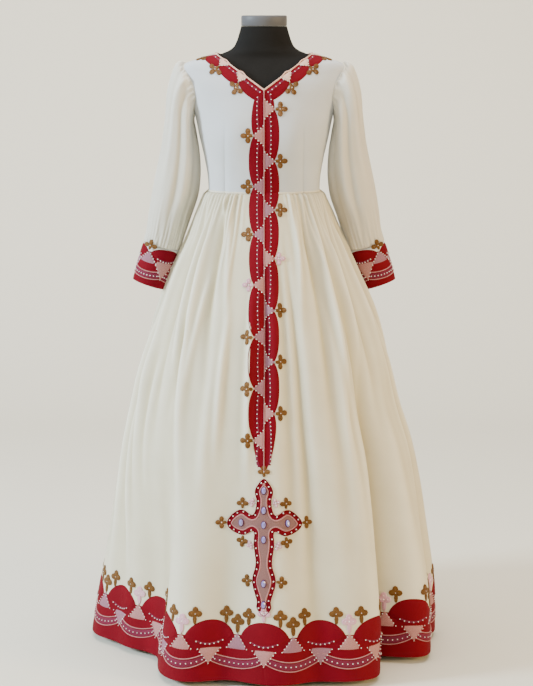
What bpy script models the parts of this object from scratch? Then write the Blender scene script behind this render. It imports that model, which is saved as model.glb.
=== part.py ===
"""Habesha kemis dress on a limbless dress form.

Metres, +Z up, the dress faces -Y and its wearer's left is +X. The foot of the stand rests on z = 0.
Every panel is a wall on a surface worked out from a short table of sections.
"""

from typing import NamedTuple

import bmesh
import bpy
import numpy as np

# Driving sizes of the dress
WAIST_Z = 1.153
HEM_Z = 0.016
ARMPIT_Z = 1.343
SHOULDER_Z = 1.466
NECK_POINT = (0.118, 1.489)
NECK_V_Z = 1.404
BACK_NECK_Z = 1.468
CLOTH = 0.0015
TRIM = 0.0012
SEAM_GAP = 0.0003
WAIST_GAP = 0.0008
LIFT = 0.0006
FORM_EASE = 0.0045
ARMHOLE_BITE_FRONT = 25.0
ARMHOLE_BITE_BACK = 21.0
ROUNDING = 0.82
BUST = dict(x=0.082, z=1.292, out=0.013, wide=0.050, high=0.055)
DART = dict(x=0.096, top_z=1.300, depth=0.0040, wide=0.013)
BAND_HALF = 0.033
BAND_TOP_Z = 1.350
BAND_END_Z = 0.513
NECK_BAND_FOOT_Z = 1.3515
NECK_BAND_SHOULDER = (0.151, 1.4785)
BACK_BAND_FOOT_Z = 1.434
HEM_BAND_TOP_Z = 0.160
BACK_SEAM_MARGIN = 0.0030
CUFF_THICK = 0.0016
CUFF_GAP = 0.0020
ARMHOLE_GAP = 0.0050
SKIRT_COLUMNS = 43
SLEEVE_SIDES = 18
FORM_SIDES = 36

# Driving sizes of the stand
BASE_RADIUS = 0.165
BASE_HIGH = 0.018
POLE_RADIUS = 0.0125
FORM_FOOT_Z = 0.900
CAP_FOOT_Z = 1.557
CAP_TOP_Z = 1.583


class Ring(NamedTuple):
    """One level section of the bodice or the form: half width and depths from the middle."""

    z: float
    side: float
    front: float
    back: float


class SkirtRing(NamedTuple):
    """One level section of the skirt before its folds."""

    z: float
    right: float
    left: float
    front: float
    back: float


class Fold(NamedTuple):
    """One fold of the skirt: where it leaves the waist, where it meets the hem, and its size there.

    Angles are in degrees from the front, positive to the wearer's left. A negative depth is a valley.
    """

    waist: float
    hem: float
    depth: float
    before: float
    after: float
    start_z: float


class SleeveRing(NamedTuple):
    """One section of a sleeve, by its outer and inner ends and its half depth front to back."""

    outer_x: float
    outer_z: float
    inner_x: float
    inner_z: float
    half_depth: float
    y: float
    dish: float


BODICE = (
    Ring(1.1530, 0.1370, 0.1000, 0.0850),
    Ring(1.1850, 0.1390, 0.1035, 0.0870),
    Ring(1.2350, 0.1475, 0.1110, 0.0930),
    Ring(1.2900, 0.1600, 0.1180, 0.1000),
    Ring(1.3300, 0.1680, 0.1180, 0.1060),
    Ring(1.3760, 0.1800, 0.1110, 0.1080),
    Ring(1.4070, 0.1890, 0.1030, 0.1050),
    Ring(1.4410, 0.1975, 0.0850, 0.0950),
    Ring(1.4580, 0.1990, 0.0730, 0.0850),
    Ring(1.4660, 0.1930, 0.0670, 0.0790),
    Ring(1.4740, 0.1690, 0.0620, 0.0720),
    Ring(1.4810, 0.1440, 0.0570, 0.0670),
    Ring(1.4890, 0.1180, 0.0530, 0.0620),
)
HIPS = (
    Ring(0.900, 0.1580, 0.1150, 0.1180),
    Ring(0.960, 0.1640, 0.1220, 0.1260),
    Ring(1.030, 0.1600, 0.1220, 0.1200),
    Ring(1.100, 0.1440, 0.1090, 0.0980),
)
NECK = (
    Ring(1.4960, 0.0890, 0.0520, 0.0600),
    Ring(1.5040, 0.0770, 0.0510, 0.0590),
    Ring(1.5180, 0.0685, 0.0510, 0.0580),
    Ring(1.5370, 0.0620, 0.0510, 0.0560),
    Ring(1.5566, 0.0565, 0.0500, 0.0540),
)
SKIRT = (
    SkirtRing(1.153, 0.1370, 0.1370, 0.1000, 0.0850),
    SkirtRing(1.111, 0.1580, 0.1560, 0.1250, 0.1150),
    SkirtRing(1.037, 0.1900, 0.1900, 0.1680, 0.1600),
    SkirtRing(0.950, 0.2310, 0.2300, 0.2100, 0.2050),
    SkirtRing(0.850, 0.2700, 0.2770, 0.2550, 0.2500),
    SkirtRing(0.744, 0.3060, 0.3170, 0.2950, 0.2900),
    SkirtRing(0.621, 0.3360, 0.3500, 0.3330, 0.3270),
    SkirtRing(0.525, 0.3590, 0.3830, 0.3600, 0.3530),
    SkirtRing(0.418, 0.3800, 0.4060, 0.3860, 0.3770),
    SkirtRing(0.299, 0.3980, 0.4230, 0.4090, 0.3980),
    SkirtRing(0.170, 0.4180, 0.4390, 0.4300, 0.4180),
    SkirtRing(0.016, 0.4470, 0.4450, 0.4500, 0.4400),
)
FOLDS = (
    Fold(-46, -26, 0.016, 8, 9, 1.10),
    Fold(-50, -50, 0.012, 7, 7, 1.12),
    Fold(-40, -51, -0.110, 20, 12, 0.66),
    Fold(-12, -12, -0.036, 9, 10, 0.70),
    Fold(18, 16, -0.016, 6, 6, 0.85),
    Fold(40, 33, 0.026, 10, 7, 1.09),
    Fold(50, 49, -0.105, 7, 7, 1.00),
    Fold(58, 59, 0.020, 6, 9, 0.80),
    Fold(76, 78, -0.026, 7, 7, 0.90),
    Fold(101, 108, -0.060, 10, 9, 1.00),
    Fold(124, 127, 0.016, 8, 9, 1.08),
    Fold(143, 146, -0.048, 9, 11, 0.92),
    Fold(168, 170, -0.070, 10, 9, 1.05),
    Fold(-162, -160, 0.014, 9, 9, 1.05),
    Fold(-142, -139, -0.062, 10, 10, 0.98),
    Fold(-116, -113, -0.040, 9, 9, 0.86),
    Fold(-78, -74, -0.024, 7, 7, 0.80),
)
SLEEVE = (
    SleeveRing(0.2130, 1.4610, 0.1745, 1.3310, 0.0600, 0.002, 0.010),
    SleeveRing(0.2225, 1.4460, 0.1735, 1.3200, 0.0670, 0.003, 0.004),
    SleeveRing(0.2325, 1.4140, 0.1700, 1.3020, 0.0720, 0.005, 0.0),
    SleeveRing(0.2410, 1.3740, 0.1670, 1.2820, 0.0740, 0.008, 0.0),
    SleeveRing(0.2470, 1.3230, 0.1640, 1.2550, 0.0750, 0.012, 0.0),
    SleeveRing(0.2550, 1.2660, 0.1620, 1.2200, 0.0750, 0.018, 0.0),
    SleeveRing(0.2680, 1.2060, 0.1630, 1.1800, 0.0740, 0.026, 0.0),
    SleeveRing(0.2800, 1.1500, 0.1700, 1.1350, 0.0710, 0.034, 0.0),
    SleeveRing(0.2890, 1.0960, 0.1880, 1.0840, 0.0650, 0.042, 0.0),
    SleeveRing(0.2950, 1.0480, 0.2060, 1.0310, 0.0540, 0.049, 0.0),
    SleeveRing(0.3010, 1.0180, 0.2190, 0.9960, 0.0430, 0.053, 0.0),
)
CUFF = (
    SleeveRing(0.3030, 1.0160, 0.2180, 0.9935, 0.0430, 0.0535, 0.0),
    SleeveRing(0.3130, 0.9860, 0.2290, 0.9620, 0.0420, 0.0550, 0.0),
    SleeveRing(0.3230, 0.9540, 0.2410, 0.9280, 0.0415, 0.0570, 0.0),
    SleeveRing(0.3330, 0.9220, 0.2530, 0.8950, 0.0410, 0.0590, 0.0),
)


class BodiceHalf(NamedTuple):
    """Half a bodice panel: its columns, the depth of its armhole in degrees, and its neckline."""

    columns: int
    bite: float
    neck_z: float
    neck_power: float
    backward: bool


FRONT_HALF = BodiceHalf(10, ARMHOLE_BITE_FRONT, NECK_V_Z, 1.0, backward=False)
BACK_HALF = BodiceHalf(9, ARMHOLE_BITE_BACK, BACK_NECK_Z, 0.5, backward=True)


class CrossRow(NamedTuple):
    """One level of the large cross: its height on the skirt and its half width there."""

    z: float
    half: float


CROSS = (
    CrossRow(0.500, 0.003),
    CrossRow(0.482, 0.019),
    CrossRow(0.462, 0.021),
    CrossRow(0.440, 0.017),
    CrossRow(0.418, 0.026),
    CrossRow(0.414, 0.058),
    CrossRow(0.400, 0.078),
    CrossRow(0.391, 0.088),
    CrossRow(0.382, 0.078),
    CrossRow(0.368, 0.058),
    CrossRow(0.364, 0.026),
    CrossRow(0.345, 0.021),
    CrossRow(0.305, 0.020),
    CrossRow(0.264, 0.029),
    CrossRow(0.228, 0.016),
    CrossRow(0.212, 0.019),
    CrossRow(0.192, 0.003),
)


# ---------------------------------------------------------------- numbers

def smooth_columns(table, heights):
    """Smooth curves through a table's columns at these heights; the first column is the height."""
    rows = np.array(sorted(table), dtype=float)
    knots = rows[:, 0]
    slopes = np.gradient(rows[:, 1:], knots, axis=0)
    heights = np.clip(heights, knots[0], knots[-1])
    low = np.clip(np.searchsorted(knots, heights) - 1, 0, len(knots) - 2)
    span = (knots[low + 1] - knots[low])[..., None]
    t = (heights - knots[low])[..., None] / span
    start, end = rows[low, 1:], rows[low + 1, 1:]
    bend = span * (slopes[low] * (t - 2 * t**2 + t**3) + slopes[low + 1] * (t**3 - t**2))
    return start + (end - start) * (3 * t**2 - 2 * t**3) + bend


def between(points, rows, columns, row, column):
    """Points on a faceted grid at these row and column values, between the corners of its cells."""
    i = np.clip(np.searchsorted(rows, row) - 1, 0, len(rows) - 2)
    j = np.clip(np.searchsorted(columns, column) - 1, 0, len(columns) - 2)
    up = ((row - rows[i]) / (rows[i + 1] - rows[i]))[..., None]
    along = ((column - columns[j]) / (columns[j + 1] - columns[j]))[..., None]
    low = points[i, j] * (1 - along) + points[i, j + 1] * along
    high = points[i + 1, j] * (1 - along) + points[i + 1, j + 1] * along
    return low * (1 - up) + high * up


def ease_in(value):
    """0 below 0, 1 above 1 and a smooth S between."""
    t = np.clip(value, 0.0, 1.0)
    return t * t * (3 - 2 * t)


# ---------------------------------------------------------------- surfaces

def bust_fullness(x, z):
    """How far the bust stands out, from its two cups."""
    cups = [np.exp(-((x - side * BUST["x"]) / BUST["wide"]) ** 2) for side in (-1, 1)]
    return BUST["out"] * (cups[0] + cups[1]) * np.exp(-((z - BUST["z"]) / BUST["high"]) ** 2)


def dart_pinch(x, z):
    """How far the two front darts draw the cloth in, from the waist to the bust."""
    length = np.clip((DART["top_z"] - z) / (DART["top_z"] - WAIST_Z), 0.0, 1.0)
    across = (np.abs(x) - DART["x"]) / DART["wide"]
    return DART["depth"] * np.sqrt(length) * np.exp(-across**2)


def body_point(angle, z, ease=0.0):
    """A point on the bodice at an angle in degrees from the front, drawn in by the ease."""
    side, front, back = np.moveaxis(smooth_columns(BODICE, z), -1, 0)
    turn = np.radians(angle)
    x = (side - ease) * np.sin(turn)
    faces_front = np.cos(turn) >= 0
    shape = np.abs(np.cos(turn)) ** ROUNDING
    forward = front - ease + bust_fullness(x, z) - dart_pinch(x, z)
    y = np.where(faces_front, -forward * shape, (back - ease) * shape)
    return np.stack([x, y, z - ease / 3], axis=-1)


def armhole_angle(z, bite):
    """The angle at which a bodice panel ends: the side seam, or the armhole above the armpit."""
    t = np.clip((z - ARMPIT_Z) / (SHOULDER_Z - ARMPIT_Z), 0.0, 1.0)
    return 90 - bite * np.sin(np.pi * t) ** 0.7


def neck_half_width(z, foot_z, power):
    """Half width of the neckline at a height, 0 below its foot."""
    t = np.clip((z - foot_z) / (NECK_POINT[1] - foot_z), 0.0, 1.0)
    return NECK_POINT[0] * t**power


def angle_of(x, z):
    """The bodice angle at which its section reaches x."""
    side = smooth_columns(BODICE, z)[..., 0]
    return np.degrees(np.arcsin(np.clip(x / side, -1.0, 1.0)))


def skirt_point(angle, z):
    """A point on the skirt: its plain section, moved out or in by each fold."""
    right, left, front, back = np.moveaxis(smooth_columns(SKIRT, z), -1, 0)
    turn = np.radians(angle)
    x = np.where(np.sin(turn) < 0, right, left) * np.sin(turn)
    y = -np.where(np.cos(turn) >= 0, front, back) * np.cos(turn)
    out = np.zeros_like(x)
    for fold in FOLDS:
        down = (WAIST_Z - z) / (WAIST_Z - HEM_Z)
        centre = fold.waist + (fold.hem - fold.waist) * down
        away = (angle - centre + 180) % 360 - 180
        width = np.where(away < 0, fold.before, fold.after)
        grown = ease_in((fold.start_z - z) / (fold.start_z - HEM_Z) * 1.15)
        out = out + fold.depth * grown * np.exp(-((away / width) ** 2))
    return np.stack([x + out * np.sin(turn), y - out * np.cos(turn), z + 0 * x], axis=-1)


def skirt_angle(x, z):
    """The skirt angle at which its plain section reaches x, at the front."""
    right, left = np.moveaxis(smooth_columns(SKIRT, z)[..., :2], -1, 0)
    return np.degrees(np.arcsin(x / np.where(x < 0, right, left)))


def sleeve_loop(section, around):
    """Points round one sleeve section; the angle 0 is its outer end."""
    turn = np.radians(around)
    mid_x, half_x = (section.outer_x + section.inner_x) / 2, (section.outer_x - section.inner_x) / 2
    mid_z, half_z = (section.outer_z + section.inner_z) / 2, (section.outer_z - section.inner_z) / 2
    x = mid_x + half_x * np.cos(turn) - section.dish * np.sin(turn) ** 2
    y = section.y + section.half_depth * np.sin(turn)
    return np.stack([x, y, mid_z + half_z * np.cos(turn)], axis=-1)


def armhole_loop(around):
    """The armhole's edge, moved just off the bodice, at the sleeve's own angles."""
    turn = np.radians(around)
    z = ARMPIT_Z + (SHOULDER_Z - ARMPIT_Z) * (1 + np.cos(turn)) / 2
    behind = np.sin(turn) > 0
    bite = np.where(behind, ARMHOLE_BITE_BACK, ARMHOLE_BITE_FRONT)
    angle = armhole_angle(z, bite)
    edge = body_point(np.where(behind, 180 - angle, angle), z)
    return edge + np.array([ARMHOLE_GAP, 0.0, 0.0])


# ---------------------------------------------------------------- making

def clear_scene():
    """Remove what the scene holds."""
    for item in list(bpy.data.objects):
        bpy.data.objects.remove(item, do_unlink=True)


def material(name, colour, roughness, metallic=0.0):
    """A plain material with a Principled shader."""
    made = bpy.data.materials.new(name)
    made.use_nodes = True
    shader = made.node_tree.nodes["Principled BSDF"]
    shader.inputs["Base Color"].default_value = (*colour, 1.0)
    shader.inputs["Roughness"].default_value = roughness
    shader.inputs["Metallic"].default_value = metallic
    return made


def wall(name, points, thick, look, closed=False, lies_on=None):
    """A grid of points as an open sheet, thickened outward; it can be laid on another piece first."""
    rows, columns = points.shape[:2]
    mesh = bpy.data.meshes.new(name)
    index = np.arange(rows * columns).reshape(rows, columns)
    if closed:
        index = np.concatenate([index, index[:, :1]], axis=1)
    faces = np.stack([index[:-1, :-1], index[:-1, 1:], index[1:, 1:], index[1:, :-1]], axis=-1)
    mesh.from_pydata(points.reshape(-1, 3).tolist(), [], faces.reshape(-1, 4).tolist())
    made = bpy.data.objects.new(name, mesh)
    if lies_on:
        laid = made.modifiers.new("Laid on", "SHRINKWRAP")
        laid.target = lies_on
        laid.wrap_mode = "ABOVE_SURFACE"
        laid.offset = 3 * LIFT
    solid = made.modifiers.new("Wall", "SOLIDIFY")
    solid.thickness = thick
    solid.offset = 1.0
    solid.use_even_offset = False
    return finish(made, look)


def finish(made, look):
    """Put a new object in the dress's collection with its material, shaded smooth."""
    made.data.materials.append(look)
    made.data.shade_smooth()
    bpy.data.collections["habesha_kemis_dress"].objects.link(made)
    return made


def lifted(points, distance):
    """Points moved out along the normals of their own grid."""
    along = np.gradient(points, axis=1)
    up = np.gradient(points, axis=0)
    normal = np.cross(along, up)
    return points + distance * normal / np.linalg.norm(normal, axis=-1, keepdims=True)


def mirrored(points):
    """The same grid on the other side, with its columns turned round so that it still faces out."""
    return (points * np.array([-1.0, 1.0, 1.0]))[:, ::-1]


def bodice_levels():
    """The heights of the bodice's rows, closest where the shoulders turn over."""
    return np.concatenate([
        np.linspace(WAIST_Z + WAIST_GAP, ARMPIT_Z, 7)[:-1],
        np.linspace(ARMPIT_Z, NECK_V_Z, 4)[:-1],
        np.linspace(NECK_V_Z, SHOULDER_Z, 5)[:-1],
        np.linspace(SHOULDER_Z, NECK_POINT[1] - 0.0012, 4),
    ])


def bodice_grid(half):
    """Half a bodice panel on the wearer's left: rows go up, columns run from the middle to its edge."""
    t, z = np.meshgrid(np.linspace(0, 1, half.columns), bodice_levels())
    inner, outer = half_edges(half, z)
    angle = inner + (outer - inner) * t
    points = body_point(180 - angle if half.backward else angle, z)
    points[..., 1] += SEAM_GAP if half.backward else -SEAM_GAP
    return points


def half_edges(half, z):
    """The angles from its middle at which a half panel begins and ends."""
    return angle_of(neck_half_width(z, half.neck_z, half.neck_power), z), armhole_angle(z, half.bite)


def on_bodice(half, x, z):
    """Points on a faceted half panel at x and z."""
    inner, outer = half_edges(half, z)
    t = (angle_of(x, z) - inner) / (outer - inner)
    return between(bodice_grid(half), bodice_levels(), np.linspace(0, 1, half.columns), z, t)


def build_bodice(look):
    """Front with its V neck, armholes and darts, and two backs with a seam between them."""
    made = wall("bodice_front", bodice_grid(FRONT_HALF), CLOTH, look)
    mirror = made.modifiers.new("Other side", "MIRROR")
    mirror.merge_threshold = 0.00005
    made.modifiers.move(1, 0)
    back = bodice_grid(BACK_HALF)
    back[..., 0] += SEAM_GAP
    left = wall("bodice_back_left", back[:, ::-1], CLOTH, look)
    right = wall("bodice_back_right", mirrored(back[:, ::-1]), CLOTH, look)
    return made, left, right


def skirt_grid(first, last):
    """Half the skirt as a grid of points and the angles and heights they stand at."""
    angles = np.linspace(first, last, SKIRT_COLUMNS)
    levels = np.concatenate([
        [HEM_Z, HEM_BAND_TOP_Z / 2, HEM_BAND_TOP_Z],
        np.linspace(HEM_BAND_TOP_Z, 1.0, 7)[1:],
        [1.06, 1.115, WAIST_Z - WAIST_GAP],
    ])
    points = skirt_point(*np.meshgrid(angles, levels))
    points[..., 1] += SEAM_GAP if last > 180 else -SEAM_GAP
    return points, angles, levels


def build_skirt(cloth, band):
    """Front and back skirt panels, each with its hem band over its two lowest rows."""
    for side, first, last in (("front", -90, 90), ("back", 90, 270)):
        points, _, _ = skirt_grid(first, last)
        wall("skirt_" + side, points, CLOTH, cloth)
        over = points[:3].copy()
        over[0, :, 2] += 0.001
        over[:, 0] += (over[:, 1] - over[:, 0]) * 0.15
        over[:, -1] += (over[:, -2] - over[:, -1]) * 0.15
        wall("hem_band_" + side, lifted(over, CLOTH + LIFT), TRIM, band)


def build_sleeves(cloth, band):
    """Two sleeves from the armholes down to their cuffs, and the cuffs."""
    around = np.linspace(0, 360, SLEEVE_SIDES + 1)[:-1]
    loops = [armhole_loop(around)] + [sleeve_loop(section, around) for section in SLEEVE]
    sleeve = np.stack(loops[::-1])
    cuff = np.stack([sleeve_loop(section, around) for section in CUFF[::-1]])
    cuff[-1, :, 2] -= CUFF_GAP
    for name, points, thick, look in (
        ("sleeve", sleeve, CLOTH, cloth),
        ("cuff", cuff, CUFF_THICK, band),
    ):
        wall(name + "_left", points, thick, look, closed=True)
        wall(name + "_right", mirrored(points), thick, look, closed=True)


def build_neck_bands(look, front, back_left, back_right):
    """Strips along the neckline, from its edge outward, laid on the bodice's panels."""
    toward_shoulder = 1 - (1 - np.linspace(0, 0.93, 17)) ** 1.5
    s, w = np.meshgrid(np.linspace(0.03, 1, 5), toward_shoulder, indexing="ij")
    for half, band_foot_z, name, under in (
        (FRONT_HALF, NECK_BAND_FOOT_Z, "neck_band_", (front, front)),
        (BACK_HALF, BACK_BAND_FOOT_Z, "neck_band_back_", (back_left, back_right)),
    ):
        edge_x = NECK_POINT[0] * w
        edge_z = half.neck_z + (NECK_POINT[1] - 0.0012 - half.neck_z) * w ** (1 / half.neck_power)
        far_x = NECK_BAND_SHOULDER[0] * w
        rise = w ** (1.6 if half.backward else 1.0)
        far_z = band_foot_z + (NECK_BAND_SHOULDER[1] - band_foot_z) * rise
        points = on_bodice(half, edge_x + (far_x - edge_x) * s, edge_z + (far_z - edge_z) * s)
        points[:, 0, 0] = BACK_SEAM_MARGIN if half.backward else 2 * SEAM_GAP
        upward = points[::-1, ::-1] if half.backward else points[::-1]
        raised = lifted(upward, 2 * CLOTH)
        wall(name + "left", raised, TRIM, look, lies_on=under[0])
        wall(name + "right", mirrored(raised), TRIM, look, lies_on=under[1])


def on_skirt(x, z):
    """Points on the faceted skirt front at x and z."""
    points, angles, levels = skirt_grid(-90, 90)
    return between(points, levels, angles, z, skirt_angle(x, z))


def build_centre_band(look):
    """The long band down the middle, over the bodice and the skirt."""
    levels = np.concatenate([
        np.linspace(BAND_END_Z, WAIST_Z - 0.002, 15),
        np.linspace(WAIST_Z + 0.002, BAND_TOP_Z - 0.002, 8),
    ])
    half = BAND_HALF * np.clip((levels - BAND_END_Z + 0.004) / 0.045, 0.0, 1.0)
    across, z = np.meshgrid(np.linspace(-1, 1, 5), levels)
    x = across * half[:, None]
    left = on_bodice(FRONT_HALF, np.abs(x), z) * np.stack([np.sign(x), 1 + 0 * x, 1 + 0 * x], axis=-1)
    points = np.where((z > WAIST_Z)[..., None], left, on_skirt(x, z))
    notch = (NECK_V_Z - NECK_BAND_FOOT_Z) / NECK_BAND_SHOULDER[0] * np.abs(points[-1, :, 0])
    points[-1, :, 2] += notch * 0.6
    wall("centre_band", lifted(points, CLOTH + 3 * LIFT), TRIM, look)


def build_cross(look, skirt):
    """The large cross applied to the skirt front, from its half width at each level."""
    rows = np.array(CROSS[::-1])
    across, z = np.meshgrid(np.linspace(-1, 1, 13), rows[:, 0])
    points = on_skirt(across * rows[:, 1:], z)
    wall("cross", lifted(points, CLOTH + 3 * LIFT), TRIM, look, lies_on=skirt)


def build_form(cover, cap_look, steel):
    """The limbless form, its neck cap, its pole and its round foot."""
    around = np.linspace(-180, 180, FORM_SIDES + 1)[:-1]
    turn = np.radians(around)
    loops = []
    for ring in HIPS:
        depth = np.where(np.cos(turn) > 0, ring.front, ring.back) * np.cos(turn)
        loops.append(np.stack([ring.side * np.sin(turn), -depth, 0 * turn + ring.z], axis=-1))
    loops.extend(body_point(around, 0 * around + z, FORM_EASE) for z in bodice_levels())
    for ring in NECK:
        depth = np.where(np.cos(turn) > 0, ring.front, ring.back) * np.cos(turn)
        loops.append(np.stack([ring.side * np.sin(turn), -depth, 0 * turn + ring.z], axis=-1))
    closed_loft("form_body", loops, cover)
    top = NECK[-1]
    cap = [
        (1.0, CAP_FOOT_Z), (1.0, CAP_TOP_Z - 0.004), (0.97, CAP_TOP_Z - 0.001), (0.92, CAP_TOP_Z)
    ]
    round_top = np.stack([top.side * np.sin(turn), -(top.front + top.back) / 2 * np.cos(turn)], axis=-1)
    closed_loft("form_cap", [
        np.concatenate([round_top * grow, np.full((FORM_SIDES, 1), z)], axis=1) for grow, z in cap
    ], cap_look)
    turned("form_base", [(0, 0), (BASE_RADIUS, 0), (BASE_RADIUS, 0.006), (BASE_RADIUS - 0.006, 0.011),
                         (0.030, BASE_HIGH), (0, BASE_HIGH)], steel)
    pole_foot, pole_top = BASE_HIGH + SEAM_GAP, FORM_FOOT_Z - SEAM_GAP
    turned("form_pole", [(0, pole_foot), (POLE_RADIUS, pole_foot), (POLE_RADIUS, pole_top),
                         (0, pole_top)], steel)


def closed_loft(name, loops, look):
    """A solid skinned over closed loops from its foot to its top, with flat ends."""
    points = np.stack(loops)
    rows, columns = points.shape[:2]
    mesh = bmesh.new()
    rings = [[mesh.verts.new(point) for point in row] for row in points.tolist()]
    for low, high in zip(rings, rings[1:]):
        for near in range(columns):
            far = (near + 1) % columns
            mesh.faces.new((low[near], low[far], high[far], high[near]))
    mesh.faces.new(rings[0][::-1])
    mesh.faces.new(rings[-1])
    data = bpy.data.meshes.new(name)
    mesh.to_mesh(data)
    mesh.free()
    return finish(bpy.data.objects.new(name, data), look)


def turned(name, profile, look):
    """A turned piece: a profile of radius and height about the Z axis."""
    mesh = bpy.data.meshes.new(name)
    edges = [(step, step + 1) for step in range(len(profile) - 1)]
    mesh.from_pydata([(radius, 0, z) for radius, z in profile], edges, [])
    made = bpy.data.objects.new(name, mesh)
    screw = made.modifiers.new("Turn", "SCREW")
    screw.steps = screw.render_steps = 48
    screw.use_merge_vertices = True
    screw.merge_threshold = 0.0001
    screw.use_normal_flip = True
    return finish(made, look)


def main():
    clear_scene()
    collection = bpy.data.collections.new("habesha_kemis_dress")
    bpy.context.scene.collection.children.link(collection)
    cotton = material("cotton", (0.80, 0.79, 0.76), 0.85)
    gauze = material("gauze", (0.84, 0.83, 0.82), 0.80)
    band = material("band", (0.58, 0.04, 0.08), 0.70)
    jersey = material("jersey", (0.025, 0.023, 0.022), 0.90)
    cap = material("cap", (0.33, 0.33, 0.34), 0.45, 0.2)
    steel = material("steel", (0.05, 0.05, 0.05), 0.40, 0.8)
    build_form(jersey, cap, steel)
    panels = build_bodice(cotton)
    build_skirt(cotton, band)
    build_sleeves(gauze, band)
    build_neck_bands(band, *panels)
    build_centre_band(band)
    build_cross(band, collection.objects["skirt_front"])


main()
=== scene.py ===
"""Habesha kemis dress on a limbless dress form: cloth, tibeb bands, beads, form, floor and light.

Metres, +Z up. The dress faces -Y and its wearer's left is +X. Each panel is a function of two
parameters, evaluated on a grid as whole arrays, and each band is drawn flat in its own
coordinates and then laid on the panel under it.
"""

from __future__ import annotations

import logging
import sys
from dataclasses import dataclass, field
from enum import Enum
from typing import NamedTuple, Sequence

import bpy
import numpy as np
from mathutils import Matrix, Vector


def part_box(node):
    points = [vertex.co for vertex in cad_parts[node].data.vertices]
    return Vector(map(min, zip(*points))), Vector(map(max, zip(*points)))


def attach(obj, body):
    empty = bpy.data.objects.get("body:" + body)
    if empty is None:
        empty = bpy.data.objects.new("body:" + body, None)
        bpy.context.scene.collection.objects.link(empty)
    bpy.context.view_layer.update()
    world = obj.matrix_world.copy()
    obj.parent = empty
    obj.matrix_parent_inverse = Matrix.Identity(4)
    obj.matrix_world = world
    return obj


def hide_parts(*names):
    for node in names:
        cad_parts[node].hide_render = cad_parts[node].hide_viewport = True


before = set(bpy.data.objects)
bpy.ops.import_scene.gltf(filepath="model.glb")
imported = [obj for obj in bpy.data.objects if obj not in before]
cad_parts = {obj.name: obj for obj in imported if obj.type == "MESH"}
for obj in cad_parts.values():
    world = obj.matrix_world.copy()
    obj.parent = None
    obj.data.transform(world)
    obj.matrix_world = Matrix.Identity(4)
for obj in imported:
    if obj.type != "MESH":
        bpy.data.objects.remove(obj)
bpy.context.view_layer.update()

Array = np.ndarray
log = logging.getLogger("kemis")

BODY = "root"

# ---- driving sizes of the dress
WAIST_Z = 1.153
HEM_Z = 0.016
ARMPIT_Z = 1.343
SHOULDER_Z = 1.466
NECK_POINT = (0.118, 1.489)
NECK_V_Z = 1.404
BACK_NECK_Z = 1.468
CLOTH = 0.0011
ROUNDING = 0.82
ARMHOLE_BITE = {"front": 25.0, "back": 21.0}
ARMHOLE_GAP = 0.0022
BUST = {"x": 0.082, "z": 1.292, "out": 0.013, "wide": 0.050, "high": 0.055}
DART = {"x": 0.096, "top_z": 1.322, "depth": 0.0060, "wide": 0.0065}
NECK_BAND_FOOT_Z = 1.3515
NECK_BAND_SHOULDER = (0.151, 1.4785)
BACK_BAND_FOOT_Z = 1.434
BAND_END_Z = 0.513
CROSS_Z = 0.391
BOW_PITCH = 0.1255  # the repeat at which a bead row bows by BOW
BOW = 0.008
BAND_RISE = 0.99  # height gained for each metre up the hem band's cloth
WAIST_SEAM_HALF = 0.0026
CREASE_GAIN = 1.35
PLEAT_GAIN = 0.8
SKIRT_DRAWN_IN = 0.0055  # how far the skirt's middle lies inside its table, under its creases
RIM = 0.0003  # height of a raised patch's outermost points over the cloth
WHOLE_TURN = 6.2832


class Side(Enum):
    """A side of the wearer, with the sign of its x."""

    LEFT = 1
    RIGHT = -1

    @property
    def mirror(self) -> Array:
        """Factors that bring points of the wearer's left to this side."""
        return np.array([float(self.value), 1.0, 1.0])


class Half(Enum):
    """Front or back of the dress."""

    FRONT = "front"
    BACK = "back"


class Tone(Enum):
    """The thread and cloth colours of the bands, in the order of their material slots."""

    RED = 0
    MAUVE = 1
    PINK = 2
    MAGENTA = 3
    TAN = 4
    PIPING = 5


class Form(Enum):
    """The forms of beads, stones and petals: radius and height of each ring, and if it is smooth."""

    BEAD = (((0.02, -1.0), (0.75, -0.66), (1.0, 0.0), (0.75, 0.66), (0.02, 1.0)), True)
    STONE = (((1.0, -0.6), (1.0, 0.1), (0.72, 0.72), (0.40, 1.0), (0.02, 1.0)), False)
    PETAL = (((1.0, -0.8), (1.0, 0.3), (0.82, 0.8), (0.60, 0.5), (0.40, 0.9), (0.02, 1.0)), True)


class Ring(NamedTuple):
    """One level section of the bodice: half width and depths from the middle."""

    z: float
    side: float
    front: float
    back: float


class SkirtRing(NamedTuple):
    """One level section of the skirt before its folds."""

    z: float
    right: float
    left: float
    front: float
    back: float


class Fold(NamedTuple):
    """One fold of the skirt, by its angle at the waist and hem in degrees from the front.

    The depth at the hem is out for a ridge and negative for a valley. Before and after are the
    widths of its two flanks in degrees, and start_z is where it begins.
    """

    waist: float
    hem: float
    depth: float
    before: float
    after: float
    start_z: float


class Crease(NamedTuple):
    """A soft crease of the skirt between two heights, deepest part way down."""

    top: float
    foot: float
    depth: float
    width: float
    top_z: float
    foot_z: float


class SleeveRing(NamedTuple):
    """One section of a sleeve or cuff, by its outer and inner ends and its half depth."""

    outer_x: float
    outer_z: float
    inner_x: float
    inner_z: float
    half_depth: float
    y: float
    dish: float = 0.0


class SleevePleat(NamedTuple):
    """A pleat of a sleeve: its angle round the sleeve, size, and where it runs, 0 head to 1 cuff."""

    angle: float
    drift: float
    depth: float
    width: float
    start: float
    end: float


def table_of(kind: type, *rows: tuple[float, ...]) -> tuple:
    """A table of one kind of row, from bare numbers."""
    return tuple(kind(*row) for row in rows)


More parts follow.
